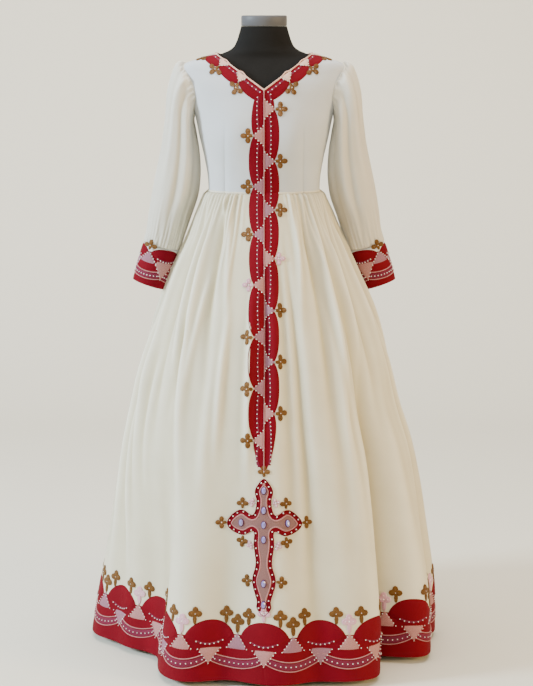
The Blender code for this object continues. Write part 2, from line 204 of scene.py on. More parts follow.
BODICE = table_of(
    Ring,
    (1.1530, 0.1370, 0.1000, 0.0850), (1.1850, 0.1390, 0.1035, 0.0870),
    (1.2350, 0.1475, 0.1110, 0.0930), (1.2900, 0.1600, 0.1180, 0.1000),
    (1.3300, 0.1680, 0.1180, 0.1060), (1.3760, 0.1800, 0.1110, 0.1080),
    (1.4070, 0.1890, 0.1030, 0.1050), (1.4410, 0.1975, 0.0850, 0.0950),
    (1.4580, 0.1990, 0.0730, 0.0850), (1.4660, 0.1930, 0.0670, 0.0790),
    (1.4740, 0.1690, 0.0620, 0.0720), (1.4810, 0.1440, 0.0570, 0.0670),
    (1.4890, 0.1180, 0.0530, 0.0620),
)
HIPS = table_of(
    Ring,
    (0.900, 0.1580, 0.1150, 0.1180), (0.960, 0.1640, 0.1220, 0.1260),
    (1.030, 0.1600, 0.1220, 0.1200), (1.100, 0.1440, 0.1090, 0.0980),
)
NECK = table_of(
    Ring,
    (1.4960, 0.0890, 0.0520, 0.0600), (1.5040, 0.0770, 0.0510, 0.0590),
    (1.5180, 0.0685, 0.0510, 0.0580), (1.5370, 0.0620, 0.0510, 0.0560),
    (1.5566, 0.0565, 0.0500, 0.0540),
)
SKIRT = table_of(
    SkirtRing,
    (1.153, 0.1370, 0.1370, 0.1000, 0.0850), (1.111, 0.1580, 0.1560, 0.1250, 0.1150),
    (1.037, 0.1900, 0.1900, 0.1680, 0.1600), (0.950, 0.2310, 0.2300, 0.2100, 0.2050),
    (0.850, 0.2700, 0.2770, 0.2550, 0.2500), (0.744, 0.3060, 0.3170, 0.2950, 0.2900),
    (0.621, 0.3360, 0.3500, 0.3330, 0.3270), (0.525, 0.3590, 0.3830, 0.3600, 0.3530),
    (0.418, 0.3800, 0.4060, 0.3860, 0.3770), (0.299, 0.3980, 0.4230, 0.4090, 0.3980),
    (0.170, 0.4180, 0.4390, 0.4300, 0.4180), (0.016, 0.4470, 0.4450, 0.4500, 0.4400),
)
FOLDS = table_of(
    Fold,
    (-46, -26, 0.016, 8, 9, 1.10), (-50, -50, 0.012, 7, 7, 1.12),
    (-40, -51, -0.110, 20, 12, 0.66), (-12, -12, -0.036, 9, 10, 0.70),
    (18, 16, -0.016, 6, 6, 0.85), (40, 33, 0.026, 10, 7, 1.09), (50, 49, -0.105, 7, 7, 1.00),
    (58, 59, 0.020, 6, 9, 0.80), (76, 78, -0.026, 7, 7, 0.90), (101, 108, -0.060, 10, 9, 1.00),
    (124, 127, 0.016, 8, 9, 1.08), (143, 146, -0.048, 9, 11, 0.92),
    (168, 170, -0.070, 10, 9, 1.05), (-162, -160, 0.014, 9, 9, 1.05),
    (-142, -139, -0.062, 10, 10, 0.98), (-116, -113, -0.040, 9, 9, 0.86),
    (-78, -74, -0.024, 7, 7, 0.80),
)
CREASES = table_of(
    Crease,
    (-47, -31, 0.0125, 2.6, 1.14, 0.30), (-39, -25, -0.0125, 2.8, 1.14, 0.62),
    (-56, -40, 0.0104, 2.4, 1.13, 0.55), (-64, -50, -0.0114, 2.8, 1.13, 0.48),
    (-72, -60, 0.0104, 2.6, 1.12, 0.42), (-80, -72, -0.0104, 3.0, 1.13, 0.50),
    (-30, -17, 0.0073, 2.2, 1.14, 0.78), (29, 18, 0.0073, 2.2, 1.14, 0.80),
    (37, 27, -0.0125, 2.6, 1.14, 0.58), (45, 31, 0.0135, 2.6, 1.14, 0.45),
    (56, 49, 0.0114, 2.4, 1.12, 0.52), (64, 56, -0.0125, 2.8, 1.13, 0.44),
    (73, 66, 0.0104, 2.4, 1.13, 0.62), (82, 78, -0.0094, 2.8, 1.12, 0.40),
    (96, 92, 0.0114, 2.6, 1.13, 0.52), (109, 112, -0.0125, 2.8, 1.14, 0.46),
    (121, 120, 0.0125, 2.6, 1.14, 0.55), (133, 138, -0.0114, 2.8, 1.13, 0.60),
    (147, 150, 0.0114, 2.6, 1.14, 0.42), (160, 162, -0.0104, 2.6, 1.14, 0.58),
    (174, 176, 0.0125, 2.8, 1.14, 0.48), (-171, -172, -0.0114, 2.8, 1.14, 0.56),
    (-156, -152, 0.0114, 2.6, 1.13, 0.44), (-141, -146, -0.0125, 2.8, 1.14, 0.60),
    (-128, -126, 0.0114, 2.6, 1.13, 0.50), (-114, -118, -0.0114, 2.8, 1.13, 0.46),
    (-101, -99, 0.0104, 2.6, 1.13, 0.58),
)
SLEEVE = table_of(
    SleeveRing,
    (0.2130, 1.4610, 0.1745, 1.3310, 0.0600, 0.002, 0.010),
    (0.2225, 1.4460, 0.1735, 1.3200, 0.0670, 0.003, 0.004),
    (0.2325, 1.4140, 0.1700, 1.3020, 0.0720, 0.005),
    (0.2410, 1.3740, 0.1670, 1.2820, 0.0740, 0.008),
    (0.2470, 1.3230, 0.1640, 1.2550, 0.0750, 0.012),
    (0.2550, 1.2660, 0.1620, 1.2200, 0.0750, 0.018),
    (0.2680, 1.2060, 0.1630, 1.1800, 0.0740, 0.026),
    (0.2800, 1.1500, 0.1700, 1.1350, 0.0710, 0.034),
    (0.2890, 1.0960, 0.1880, 1.0840, 0.0650, 0.042),
    (0.2950, 1.0480, 0.2060, 1.0310, 0.0540, 0.049),
    (0.3010, 1.0180, 0.2190, 0.9960, 0.0430, 0.053),
)
CUFF = table_of(
    SleeveRing,
    (0.3030, 1.0160, 0.2180, 0.9935, 0.0430, 0.0535),
    (0.3130, 0.9860, 0.2290, 0.9620, 0.0420, 0.0550),
    (0.3230, 0.9540, 0.2410, 0.9280, 0.0415, 0.0570),
    (0.3330, 0.9220, 0.2530, 0.8950, 0.0410, 0.0590),
)
PLEATS = table_of(
    SleevePleat,
    (-12, 6, 0.0060, 9, 0.00, 0.42), (-38, -4, -0.0067, 9, 0.00, 0.55),
    (-63, 8, 0.0067, 10, 0.04, 0.75), (-88, -6, -0.0075, 10, 0.10, 0.98),
    (-115, 5, 0.0067, 10, 0.12, 0.90), (-142, 4, -0.0060, 11, 0.20, 0.98),
    (-168, -5, 0.0045, 11, 0.35, 0.98), (18, 5, -0.0067, 9, 0.00, 0.60),
    (44, -6, 0.0067, 9, 0.00, 0.85), (70, 6, -0.0075, 10, 0.06, 0.70),
    (97, -5, 0.0075, 10, 0.10, 0.98), (124, 4, -0.0067, 11, 0.14, 0.85),
    (152, -4, 0.0053, 11, 0.30, 0.98),
)
CROSS_OUTLINE = (  # the right half's outline in millimetres from its middle: x, up
    (0, 112), (12, 99), (22, 83), (21.5, 71),
    (17, 59), (19, 38), (25, 22), (33, 22),
    (45, 31), (57, 34), (71, 28), (85, 16),
    (94, 3), (92, -9), (83, -18), (69, -25),
    (51, -28), (38, -22), (28, -14), (22, -20),
    (25, -42), (23, -62), (19, -84), (20, -102),
    (28, -124), (28, -143), (20, -168), (15, -184),
    (19, -195), (11, -208), (0, -219),
)


# ---- numbers


def through(knots: Array, values: Array, at: Array) -> Array:
    """A smooth curve through values at rising knots: a cubic between each pair of neighbours.

    Args:
        knots: rising positions, one for each row of values.
        values: rows to pass through; any shape after the first axis.
        at: where to read the curve.

    Returns:
        The curve at each place in ``at``, with the trailing shape of ``values``.
    """
    slopes = np.gradient(values, knots, axis=0)
    at = np.clip(at, knots[0], knots[-1])
    low = np.clip(np.searchsorted(knots, at) - 1, 0, len(knots) - 2)
    span = knots[low + 1] - knots[low]
    t = (at - knots[low]) / span
    spread = (slice(None),) * at.ndim + (None,) * (values.ndim - 1)
    t, span = t[spread], span[spread]
    bend = span * (slopes[low] * (t - 2 * t**2 + t**3) + slopes[low + 1] * (t**3 - t**2))
    return values[low] + (values[low + 1] - values[low]) * (3 * t**2 - 2 * t**3) + bend


def columns_at(table: Sequence[NamedTuple], z: Array) -> Array:
    """The columns of a table of sections at heights z, smoothly joined; one row for each."""
    rows = np.array(sorted(table), dtype=float)
    return np.moveaxis(through(rows[:, 0], rows[:, 1:], np.asarray(z, float)), -1, 0)


def ease(value: Array) -> Array:
    """0 below 0, 1 above 1 and a smooth S between."""
    t = np.clip(value, 0.0, 1.0)
    return t * t * (3 - 2 * t)


def bump(distance: Array, width: Array | float) -> Array:
    """A bell that is 1 at no distance and fades over the width."""
    return np.exp(-((distance / width) ** 2))


def wrapped(angle: Array) -> Array:
    """Angles brought between -180 and 180 degrees."""
    return (angle + 180) % 360 - 180


def pair(a: Array, b: Array) -> Sequence[Array]:
    """Two parameters as arrays of numbers of one shape."""
    return np.broadcast_arrays(np.asarray(a, float), np.asarray(b, float))


def walked(path: Array) -> Array:
    """The distance of each point of a path from its start, along it."""
    chords = np.linalg.norm(np.diff(path, axis=0), axis=1)
    return np.concatenate([[0.0], np.cumsum(chords)])


def unit(vector: Array) -> Array:
    """Vectors at length 1."""
    return vector / np.maximum(np.linalg.norm(vector, axis=-1, keepdims=True), 1e-12)


# ---- surfaces of the cloth


class Surface:
    """A surface of two parameters, with the metres or degrees over which its slope is read."""

    step: tuple[float, float] = (0.4, 0.0025)
    hand: int = 1  # -1 where a mirrored surface's parameters run the other way round

    def point(self, a: Array, b: Array) -> Array:
        """Points at the parameters a and b."""
        raise NotImplementedError

    def frame(self, a: Array, b: Array) -> tuple[Array, Array, Array]:
        """Point, unit direction along a, and outward normal, from the slopes both ways."""
        da, db = self.step
        along = self.point(a + da, b) - self.point(a - da, b)
        up = self.point(a, b + db) - self.point(a, b - db)
        return self.point(a, b), unit(along), self.hand * unit(np.cross(along, up))

    def raised(self, a: Array, b: Array, height: Array | float) -> Array:
        """Points moved out along the normal by the height."""
        place, _, normal = self.frame(a, b)
        return place + normal * np.asarray(height)[..., None]


def bust_fullness(x: Array, z: Array) -> Array:
    """How far the bust stands out: a bell over each cup."""
    cups = bump(x - BUST["x"], BUST["wide"]) + bump(x + BUST["x"], BUST["wide"])
    return BUST["out"] * cups * bump(z - BUST["z"], BUST["high"])


def dart_pinch(x: Array, z: Array) -> Array:
    """How far the front darts draw the cloth in: a narrow trough that tapers from the waist up."""
    length = np.clip((DART["top_z"] - z) / (DART["top_z"] - WAIST_Z), 0.0, 1.0)
    away = np.abs(np.abs(x) - DART["x"])
    return DART["depth"] * np.sqrt(length) * np.exp(-away / DART["wide"])


def bodice_point(angle: Array, z: Array, darts: bool = True) -> Array:
    """A point of the bodice: x is the half width times the sine of the angle, y the depth times
    the cosine to a power under 1, so that the section is a rounded oblong.

    Args:
        angle: degrees from the front, positive to the wearer's left.
        z: height.
        darts: whether the front darts draw it in.

    Returns:
        Points, one row of x, y, z for each.
    """
    side, front, back = columns_at(BODICE, z)
    turn = np.radians(angle)
    x = side * np.sin(turn)
    shape = np.abs(np.cos(turn)) ** ROUNDING
    pinch = dart_pinch(x, z) if darts else 0.0
    forward = front + bust_fullness(x, z) - pinch
    y = np.where(np.cos(turn) >= 0, -forward * shape, back * shape)
    return np.stack([x, y, z + 0 * x], axis=-1)


def bodice_angle(x: Array, z: Array) -> Array:
    """The bodice angle at which its section reaches x."""
    return np.degrees(np.arcsin(np.clip(x / columns_at(BODICE, z)[0], -1.0, 1.0)))


def armhole_angle(z: Array, half: Half) -> Array:
    """Where a bodice panel ends: the side seam, or the armhole above the armpit."""
    t = np.clip((z - ARMPIT_Z) / (SHOULDER_Z - ARMPIT_Z), 0.0, 1.0)
    return 90 - ARMHOLE_BITE[half.value] * np.sin(np.pi * t) ** 0.7


class SkirtSurface(Surface):
    """The skirt: a level section that widens to the hem, moved out or in by folds and gathers."""

    gathers_seed = 11
    gather_count = 84

    def __init__(self) -> None:
        """Draw the sizes of the small gathers under the waist once."""
        rng = np.random.default_rng(self.gathers_seed)
        spread = np.linspace(17, 343, self.gather_count)
        self.gather_angle = spread + rng.uniform(-1.3, 1.3, self.gather_count)
        self.gather_depth = rng.uniform(0.0050, 0.0120, self.gather_count)
        self.gather_depth *= ease((np.abs(wrapped(self.gather_angle)) - 15) / 14)
        self.gather_reach = rng.uniform(0.06, 0.34, self.gather_count)
        self.gather_width = rng.uniform(0.9, 1.6, self.gather_count)
        self.gather_lean = rng.uniform(-4.0, 4.0, self.gather_count)
        self.fall_angle = np.arange(0, 360, 9.0) + rng.uniform(-3.4, 3.4, 40)
        self.fall_depth = rng.uniform(0.0050, 0.0150, 40) * rng.choice([-1.0, 1.0], 40)
        self.fall_width = rng.uniform(1.5, 3.2, 40)
        self.fall_top = rng.uniform(0.75, 1.12, 40)
        self.fall_foot = rng.uniform(0.05, 0.60, 40)

    def outward(self, angle: Array, z: Array) -> Array:
        """How far folds, creases and gathers move the skirt out at each place."""
        down = (WAIST_Z - z) / (WAIST_Z - HEM_Z)
        out = np.zeros(np.broadcast(angle, z).shape)
        for fold in FOLDS:
            away = wrapped(angle - fold.waist - (fold.hem - fold.waist) * down)
            width = np.where(away < 0, fold.before, fold.after)
            grown = ease((fold.start_z - z) / (fold.start_z - HEM_Z) * 1.15)
            out = out + fold.depth * grown * bump(away, width)
        for crease in CREASES:
            t = (crease.top_z - z) / (crease.top_z - crease.foot_z)
            away = wrapped(angle - crease.top - (crease.foot - crease.top) * t)
            swell = ease(t / 0.22) * ease((1 - t) / 0.65)
            out = out + CREASE_GAIN * crease.depth * swell * bump(away, crease.width * (1.15 - 0.3 * t))
        for place, depth, width, top, foot in zip(
            self.fall_angle, self.fall_depth, self.fall_width, self.fall_top, self.fall_foot,
        ):
            t = (top - z) / (top - foot)
            swell = ease(t / 0.35) * ease((1 - t) / 0.5)
            out = out + depth * swell * bump(wrapped(angle - place), width)
        fall = WAIST_Z - z
        out = out - SKIRT_DRAWN_IN * ease(fall / 0.12) * ease((z - HEM_Z - 0.10) / 0.35)
        near = fall < 0.25
        if np.any(near):
            for place, depth, reach, width, lean in zip(
                self.gather_angle, self.gather_depth, self.gather_reach,
                self.gather_width, self.gather_lean,
            ):
                fade = ease(fall / 0.012 + 0.35) * ease(1 - fall / reach)
                away = wrapped(angle - place - lean * fall / reach)
                out = out + depth * fade * bump(away, width)
        return out

    def point(self, a: Array, b: Array) -> Array:
        """Points at angle a in degrees and height b."""
        angle, z = pair(a, b)
        right, left, front, back = columns_at(SKIRT, z)
        turn = np.radians(angle)
        x = np.where(np.sin(turn) < 0, right, left) * np.sin(turn)
        y = -np.where(np.cos(turn) >= 0, front, back) * np.cos(turn)
        out = self.outward(angle, z)
        return np.stack([x + out * np.sin(turn), y - out * np.cos(turn), z], axis=-1)


class BodiceSurface(Surface):
    """The bodice as one surface all round, over angle and height."""

    def point(self, a: Array, b: Array) -> Array:
        """Points at angle a in degrees and height b."""
        angle, z = pair(a, b)
        return bodice_point(angle, z)


class TubeSurface(Surface):
    """A sleeve or cuff: loops with an outer and an inner end, joined smoothly along its length."""

    step = (1.0, 0.01)

    def __init__(
        self, rings: Sequence[SleeveRing], side: Side, from_armhole: bool,
        pleats: Sequence[SleevePleat] = (),
    ) -> None:
        """Keep the tube's rings, its side, whether it starts at the armhole, and its pleats."""
        self.rings, self.side, self.from_armhole, self.pleats = rings, side, from_armhole, pleats
        self.hand = side.value
        rng = np.random.default_rng(5 + side.value)
        count = 34 if pleats else 0
        self.fine_angle = np.linspace(0, 360, count, endpoint=False) + rng.uniform(-3, 3, count)
        self.fine_depth = rng.uniform(0.0022, 0.0052, count)
        self.fine_width = rng.uniform(2.6, 4.4, count)
        self.fine_reach = rng.uniform(0.08, 0.36, count)

    def loops(self, around: Array) -> Array:
        """Points of every ring at the angles around; 0 is the outer end, -90 the front."""
        turn = np.radians(around)
        made = []
        if self.from_armhole:
            z = ARMPIT_Z + (SHOULDER_Z - ARMPIT_Z) * (1 + np.cos(turn)) / 2
            front = armhole_angle(z, Half.FRONT)
            back = 180 - armhole_angle(z, Half.BACK)
            edge = bodice_point(np.where(np.sin(turn) > 0, back, front), z, darts=False)
            made.append(edge + np.array([ARMHOLE_GAP, 0.0, 0.0]))
        for ring in self.rings:
            x = (ring.outer_x + ring.inner_x) / 2 + (ring.outer_x - ring.inner_x) / 2 * np.cos(turn)
            z = (ring.outer_z + ring.inner_z) / 2 + (ring.outer_z - ring.inner_z) / 2 * np.cos(turn)
            x = x - ring.dish * np.sin(turn) ** 2
            made.append(np.stack([x, ring.y + ring.half_depth * np.sin(turn), z], axis=-1))
        return np.stack(made)

    def point(self, a: Array, b: Array) -> Array:
        """Points at angle a round the tube and b along it, 0 at its foot and 1 at its top."""
        around, up = pair(a, b)
        loops = self.loops(around)
        count = len(loops)
        at = np.clip(1 - up, -0.2, 1.2) * (count - 1)
        low = np.clip(np.floor(at).astype(int), 0, count - 2)
        slopes = np.gradient(loops, axis=0)
        t = (at - low)[..., None]

        def pick(rows: Array, index: Array) -> Array:
            """Rows taken at each point's own index."""
            return np.take_along_axis(rows, index[None, ..., None], axis=0)[0]

        start, end = pick(loops, low), pick(loops, low + 1)
        bend = pick(slopes, low) * (t - 2 * t**2 + t**3) + pick(slopes, low + 1) * (t**3 - t**2)
        place = start + (end - start) * (3 * t**2 - 2 * t**3) + bend
        middle = loops.mean(axis=tuple(range(1, loops.ndim - 1)))
        out = np.zeros(around.shape)
        for pleat in self.pleats:
            along = (1 - up - pleat.start) / (pleat.end - pleat.start)
            swell = ease(along / 0.16 + 0.25) * ease((1 - along) / 0.3) * (along > -0.3)
            out = out + PLEAT_GAIN * pleat.depth * swell * bump(
                wrapped(around - pleat.angle - pleat.drift * along), pleat.width
            )
        for angle, depth, width, reach in zip(
            self.fine_angle, self.fine_depth, self.fine_width, self.fine_reach,
        ):
            near = bump(wrapped(around - angle), width)
            foot, head = ease(1 - up / reach), ease(1 - (1 - up) / (0.7 * reach)) * ease((1 - up) / 0.01)
            out = out + depth * near * (foot * ease(up / 0.008 + 0.4) + head)
        centre = middle[low] + (middle[low + 1] - middle[low]) * t
        place = place + unit(place - centre) * out[..., None]
        return place * self.side.mirror


SKIRT_CLOTH = SkirtSurface()
BODICE_CLOTH = BodiceSurface()


# ---- band coordinates on the cloth


class BandMap(Surface):
    """Flat band coordinates laid on the cloth: metres along the band and metres across it."""

    step = (0.0012, 0.0012)


class HemMap(BandMap):
    """The hem band: along is the distance round the skirt from the front, across is up."""

    def __init__(self, level: float = 0.075, samples: int = 1441) -> None:
        """Measure the skirt's girth at the band's middle, once, from many short chords."""
        self.angles = np.linspace(0, 360, samples)
        loop = SKIRT_CLOTH.point(self.angles, np.full(samples, HEM_Z + level))
        self.length = walked(loop)
        self.girth = float(self.length[-1])

    def point(self, a: Array, b: Array) -> Array:
        """Points at a metres round from the front and b metres up from the hem."""
        angle = np.interp(np.mod(a, self.girth), self.length, self.angles)
        return SKIRT_CLOTH.point(angle, HEM_Z + BAND_RISE * b)


class FrontMap(BandMap):
    """The dress's front: along is x, across is the distance up the middle from the band's end."""

    def __init__(self, samples: int = 600) -> None:
        """Measure the length of the middle of the front from the hem to the V."""
        self.levels = np.linspace(HEM_Z, NECK_V_Z + 0.01, samples)
        self.length = walked(self.spot(0 * self.levels, self.levels))

    @staticmethod
    def spot(x: Array, z: Array) -> Array:
        """Points of the bodice or skirt front at x and height z."""
        right, left = columns_at(SKIRT, z)[:2]
        skirt_angle = np.degrees(np.arcsin(np.clip(x / np.where(x < 0, right, left), -1, 1)))
        lower = SKIRT_CLOTH.point(skirt_angle, np.minimum(z, WAIST_Z))
        upper = bodice_point(bodice_angle(x, z), np.maximum(z, WAIST_Z))
        return np.where((z > WAIST_Z)[..., None], upper, lower)

    def height(self, up: Array) -> Array:
        """The height of a distance up the middle of the front."""
        return np.interp(up, self.length, self.levels)

    def up_to(self, z: float) -> float:
        """The distance up the middle of the front to a height."""
        return float(np.interp(z, self.levels, self.length))

    def point(self, a: Array, b: Array) -> Array:
        """Points at a metres across and b metres up the middle of the front."""
        a, b = pair(a, b)
        return self.spot(a, self.height(b))


class ColumnMap(BandMap):
    """Half the centre band: along runs down the front, across runs outward from the middle."""

    def __init__(self, front: FrontMap, top: float, side: Side) -> None:
        """Keep the front it lies on, the distance up it at which it starts, and its side."""
        self.front, self.top, self.side = front, top, side
        self.hand = side.value

    def point(self, a: Array, b: Array) -> Array:
        """Points a metres down from the top and b metres out from the middle."""
        return self.front.point(self.side.value * np.asarray(b), self.top - np.asarray(a))


class NeckMap(BandMap):
    """Half the neck band: along runs from its middle to the shoulder, across runs outward."""

    def __init__(self, half: Half, side: Side) -> None:
        """Measure half the neckline, from the V or the centre back to the shoulder."""
        self.half, self.side = half, side
        self.hand = -side.value if half is Half.FRONT else side.value
        self.width = 0.033
        self.share = np.linspace(0, 1, 200)
        self.length = walked(self.spot(self.share, 0 * self.share))

    @property
    def reach(self) -> float:
        """The length of half the neckline."""
        return float(self.length[-1])

    def spot(self, f: Array, g: Array) -> Array:
        """Points at a share f along the neckline and g across the band."""
        if self.half is Half.FRONT:
            edge_z = NECK_V_Z + (NECK_POINT[1] - NECK_V_Z) * f
            far_z = NECK_BAND_FOOT_Z + (NECK_BAND_SHOULDER[1] - NECK_BAND_FOOT_Z) * f
        else:
            edge_z = BACK_NECK_Z + (NECK_POINT[1] - BACK_NECK_Z) * f**2
            far_z = BACK_BAND_FOOT_Z + (NECK_BAND_SHOULDER[1] - BACK_BAND_FOOT_Z) * f**1.6
        x = NECK_POINT[0] * f + (NECK_BAND_SHOULDER[0] - NECK_POINT[0]) * f * g
        z = edge_z + (far_z - edge_z) * g
        angle = bodice_angle(x, z)
        turned = angle if self.half is Half.FRONT else 180 - angle
        return bodice_point(turned, z) * self.side.mirror

    def point(self, a: Array, b: Array) -> Array:
        """Points a metres along the neckline and b metres out from it."""
        a, b = pair(a, b)
        return self.spot(np.interp(a, self.length, self.share), b / self.width)


class CuffMap(BandMap):
    """A cuff's band: along runs round the cuff, across runs up from its foot."""

    def __init__(self, tube: TubeSurface, start: float, height: float) -> None:
        """Measure the cuff's girth at its middle, once."""
        self.tube, self.start, self.height = tube, start, height
        self.hand = tube.hand
        self.angles = np.linspace(0, 360, 361)
        self.length = walked(tube.point(self.angles, np.full(361, 0.5)))
        self.girth = float(self.length[-1])

    def point(self, a: Array, b: Array) -> Array:
        """Points a metres round from the starting angle and b metres up from the foot."""
        angle = self.start + np.interp(np.mod(a, self.girth), self.length, self.angles)
        return self.tube.point(angle, np.asarray(b) / self.height)


# ---- meshes


def quads(rows: int, columns: int, closed: bool = False, hand: int = 1) -> Array:
    """Faces of a grid with rows going up and columns going along, wound to face outward."""
    index = np.arange(rows * columns).reshape(rows, columns)
    if closed:
        index = np.concatenate([index, index[:, :1]], axis=1)
    faces = [index[:-1, :-1], index[:-1, 1:], index[1:, 1:], index[1:, :-1]]
    return np.stack(faces[::hand], axis=-1).reshape(-1, 4)


def fill_mesh(name: str, points: Array, faces: Array, smooth: bool = True) -> bpy.types.Mesh:
    """A mesh from arrays of points and four-sided or three-sided faces.

    Args:
        name: the mesh's name.
        points: one row for each point.
        faces: one row of corner numbers for each face.
        smooth: whether it is shaded smooth.

    Returns:
        The new mesh.
    """
    mesh = bpy.data.meshes.new(name)
    corners = faces.shape[1]
    mesh.vertices.add(len(points))
    mesh.vertices.foreach_set("co", np.ascontiguousarray(points, np.float32).ravel())
    mesh.loops.add(faces.size)
    mesh.loops.foreach_set("vertex_index", np.ascontiguousarray(faces, np.int32).ravel())
    mesh.polygons.add(len(faces))
    mesh.polygons.foreach_set("loop_start", np.arange(0, faces.size, corners, dtype=np.int32))
    mesh.polygons.foreach_set("use_smooth", np.full(len(faces), smooth))
    mesh.update(calc_edges=True)
    mesh.validate()
    return mesh


def linked(name: str, data: bpy.types.ID) -> bpy.types.Object:
    """A new object of some data, linked into the scene at the origin."""
    made = bpy.data.objects.new(name, data)
    bpy.context.scene.collection.objects.link(made)
    return made


def place_object(
    name: str, mesh: bpy.types.Mesh, slot: str, nodes: Sequence[str] = (),
) -> bpy.types.Object:
    """Link a finished mesh at the origin, ride it on the dress and hide the nodes it replaces."""
    made = linked(name, mesh)
    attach(made, BODY)
    if nodes:
        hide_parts(*nodes)
    log.info("%s: %d faces", name, len(mesh.polygons))
    return made


def put_uv(mesh: bpy.types.Mesh, uv: Array, name: str = "Cloth") -> None:
    """Give a mesh a UV map from one pair of metres for each point."""
    layer = mesh.uv_layers.new(name=name)
    corner = np.empty(len(mesh.loops), np.int32)
    mesh.loops.foreach_get("vertex_index", corner)
    layer.data.foreach_set("uv", np.ascontiguousarray(uv[corner], np.float32).ravel())


def cloth_uv(points: Array) -> Array:
    """Metres along and up a grid of points: mean chord lengths, added up both ways."""
    along = np.linalg.norm(np.diff(points, axis=1), axis=-1).mean(axis=0)
    up = np.linalg.norm(np.diff(points, axis=0), axis=-1).mean(axis=1)
    u = np.concatenate([[0.0], np.cumsum(along)])
    v = np.concatenate([[0.0], np.cumsum(up)])
    return np.stack(np.meshgrid(u, v), axis=-1).reshape(-1, 2)


def painted_fold_shade(points: Array, window: int, depth: float, closed: bool = False) -> Array:
    """How far each point stands off a running mean along its row: 0 in a trough, 1 on a ridge. It sets
    where shade is painted into the cloth's colour, darkest in the troughs.

    Args:
        points: a grid of points, columns going round the surface.
        window: how many columns the mean takes, an odd number.
        depth: the height from trough to ridge that spans the whole range, in metres.
        closed: whether the rows run right round.

    Returns:
        One value for each point.
    """
    weights = np.hanning(window + 2)[1:-1]
    reach = window // 2
    wide = np.pad(points, ((0, 0), (reach, reach), (0, 0)), mode="wrap" if closed else "reflect")
    columns = points.shape[1]
    mean = sum(w * wide[:, i:i + columns] for i, w in enumerate(weights / weights.sum()))
    outward = unit(np.cross(np.gradient(points, axis=1), np.gradient(points, axis=0)))
    return np.clip(0.5 + np.sum((points - mean) * outward, axis=-1) / depth, 0.0, 1.0)


def put_painted_fold_shade(mesh: bpy.types.Mesh, shade: Array) -> None:
    """Keep a sheet's painted fold shade, which darkens its colour in the troughs, in a UV map of its own.
    """
    put_uv(mesh, np.stack([shade.ravel(), 0 * shade.ravel()], axis=-1), "Fold")


def flat_size(points: Array) -> tuple[float, float, float]:
    """The longest row, the longest column and the area of a sheet, for its cut."""
    rows = np.linalg.norm(np.diff(points, axis=1), axis=-1).sum(axis=1)
    columns = np.linalg.norm(np.diff(points, axis=0), axis=-1).sum(axis=0)
    across = points[1:, :-1] - points[:-1, :-1]
    along = points[:-1, 1:] - points[:-1, :-1]
    area = float(np.linalg.norm(np.cross(along, across), axis=-1).sum())
    return float(rows.max()), float(columns.max()), area


@dataclass
class Patchwork:
    """Many raised patches, each a small grid, joined into one mesh with a tone for each."""

    points: list[Array] = field(default_factory=list)
    faces: list[Array] = field(default_factory=list)
    uvs: list[Array] = field(default_factory=list)
    tones: list[Array] = field(default_factory=list)
    count: int = 0

    def add(self, points: Array, uv: Array, tone: Tone, hand: int = 1) -> None:
        """Add a stack of grids of one shape: copies, rows, columns, x y z.

        Args:
            points: the grids' points.
            uv: metres along and across the stitches for each point.
            tone: the colour of all of them.
            hand: 1 where the grids' rows and columns turn with the surface, -1 against it.
        """
        copies, rows, columns = points.shape[:3]
        one = quads(rows, columns, hand=hand)
        start = np.arange(copies)[:, None, None] * rows * columns + self.count
        faces = (one[None] + start).reshape(-1, 4)
        self.points.append(points.reshape(-1, 3))
        self.faces.append(faces)
        self.uvs.append(uv.reshape(-1, 2))
        self.tones.append(np.full(len(faces), tone.value, np.int32))
        self.count += copies * rows * columns

    def build(
        self, name: str, slot: str, materials: Sequence[bpy.types.Material],
        nodes: Sequence[str] = (),
    ) -> bpy.types.Object:
        """Join the patches into one object with one material slot for each tone."""
        mesh = fill_mesh(name, np.concatenate(self.points), np.concatenate(self.faces))
        put_uv(mesh, np.concatenate(self.uvs), "Stitch")
        for finish in materials:
            mesh.materials.append(finish)
        mesh.polygons.foreach_set("material_index", np.concatenate(self.tones))
        return place_object(name, mesh, slot, nodes)


def pad(
    band: Surface, along: Array, across: Array, base: float, puff: float, rim: float = RIM,
) -> Array:
    """A raised patch on a band: a grid of places, lifted by the base and swollen in its middle.

    The height is the base plus the puff times a half ellipse across the patch, and its outermost
    points go down to the rim so that its edge meets the cloth.

    Args:
        band: the coordinates that the patch lies in.
        along: places along the band, shaped copies, rows, columns.
        across: places across the band, of the same shape.
        base: height of the patch's edge.
        puff: extra height at its middle.
        rim: height of the outermost points.

    Returns:
        Points of the same shape, with x, y, z last.
    """
    rows, columns = along.shape[-2:]
    v = np.linspace(-1, 1, rows)[:, None]
    u = np.linspace(-1, 1, columns)[None, :]
    dome = np.sqrt(np.clip((1 - v**2) * (1 - u**2), 0.0, 1.0))
    height = base + puff * dome
    edge = (np.abs(v) > 0.999) | (np.abs(u) > 0.999)
    height = np.where(edge, rim, height)
    return band.raised(along, across, CLOTH + np.broadcast_to(height, along.shape))


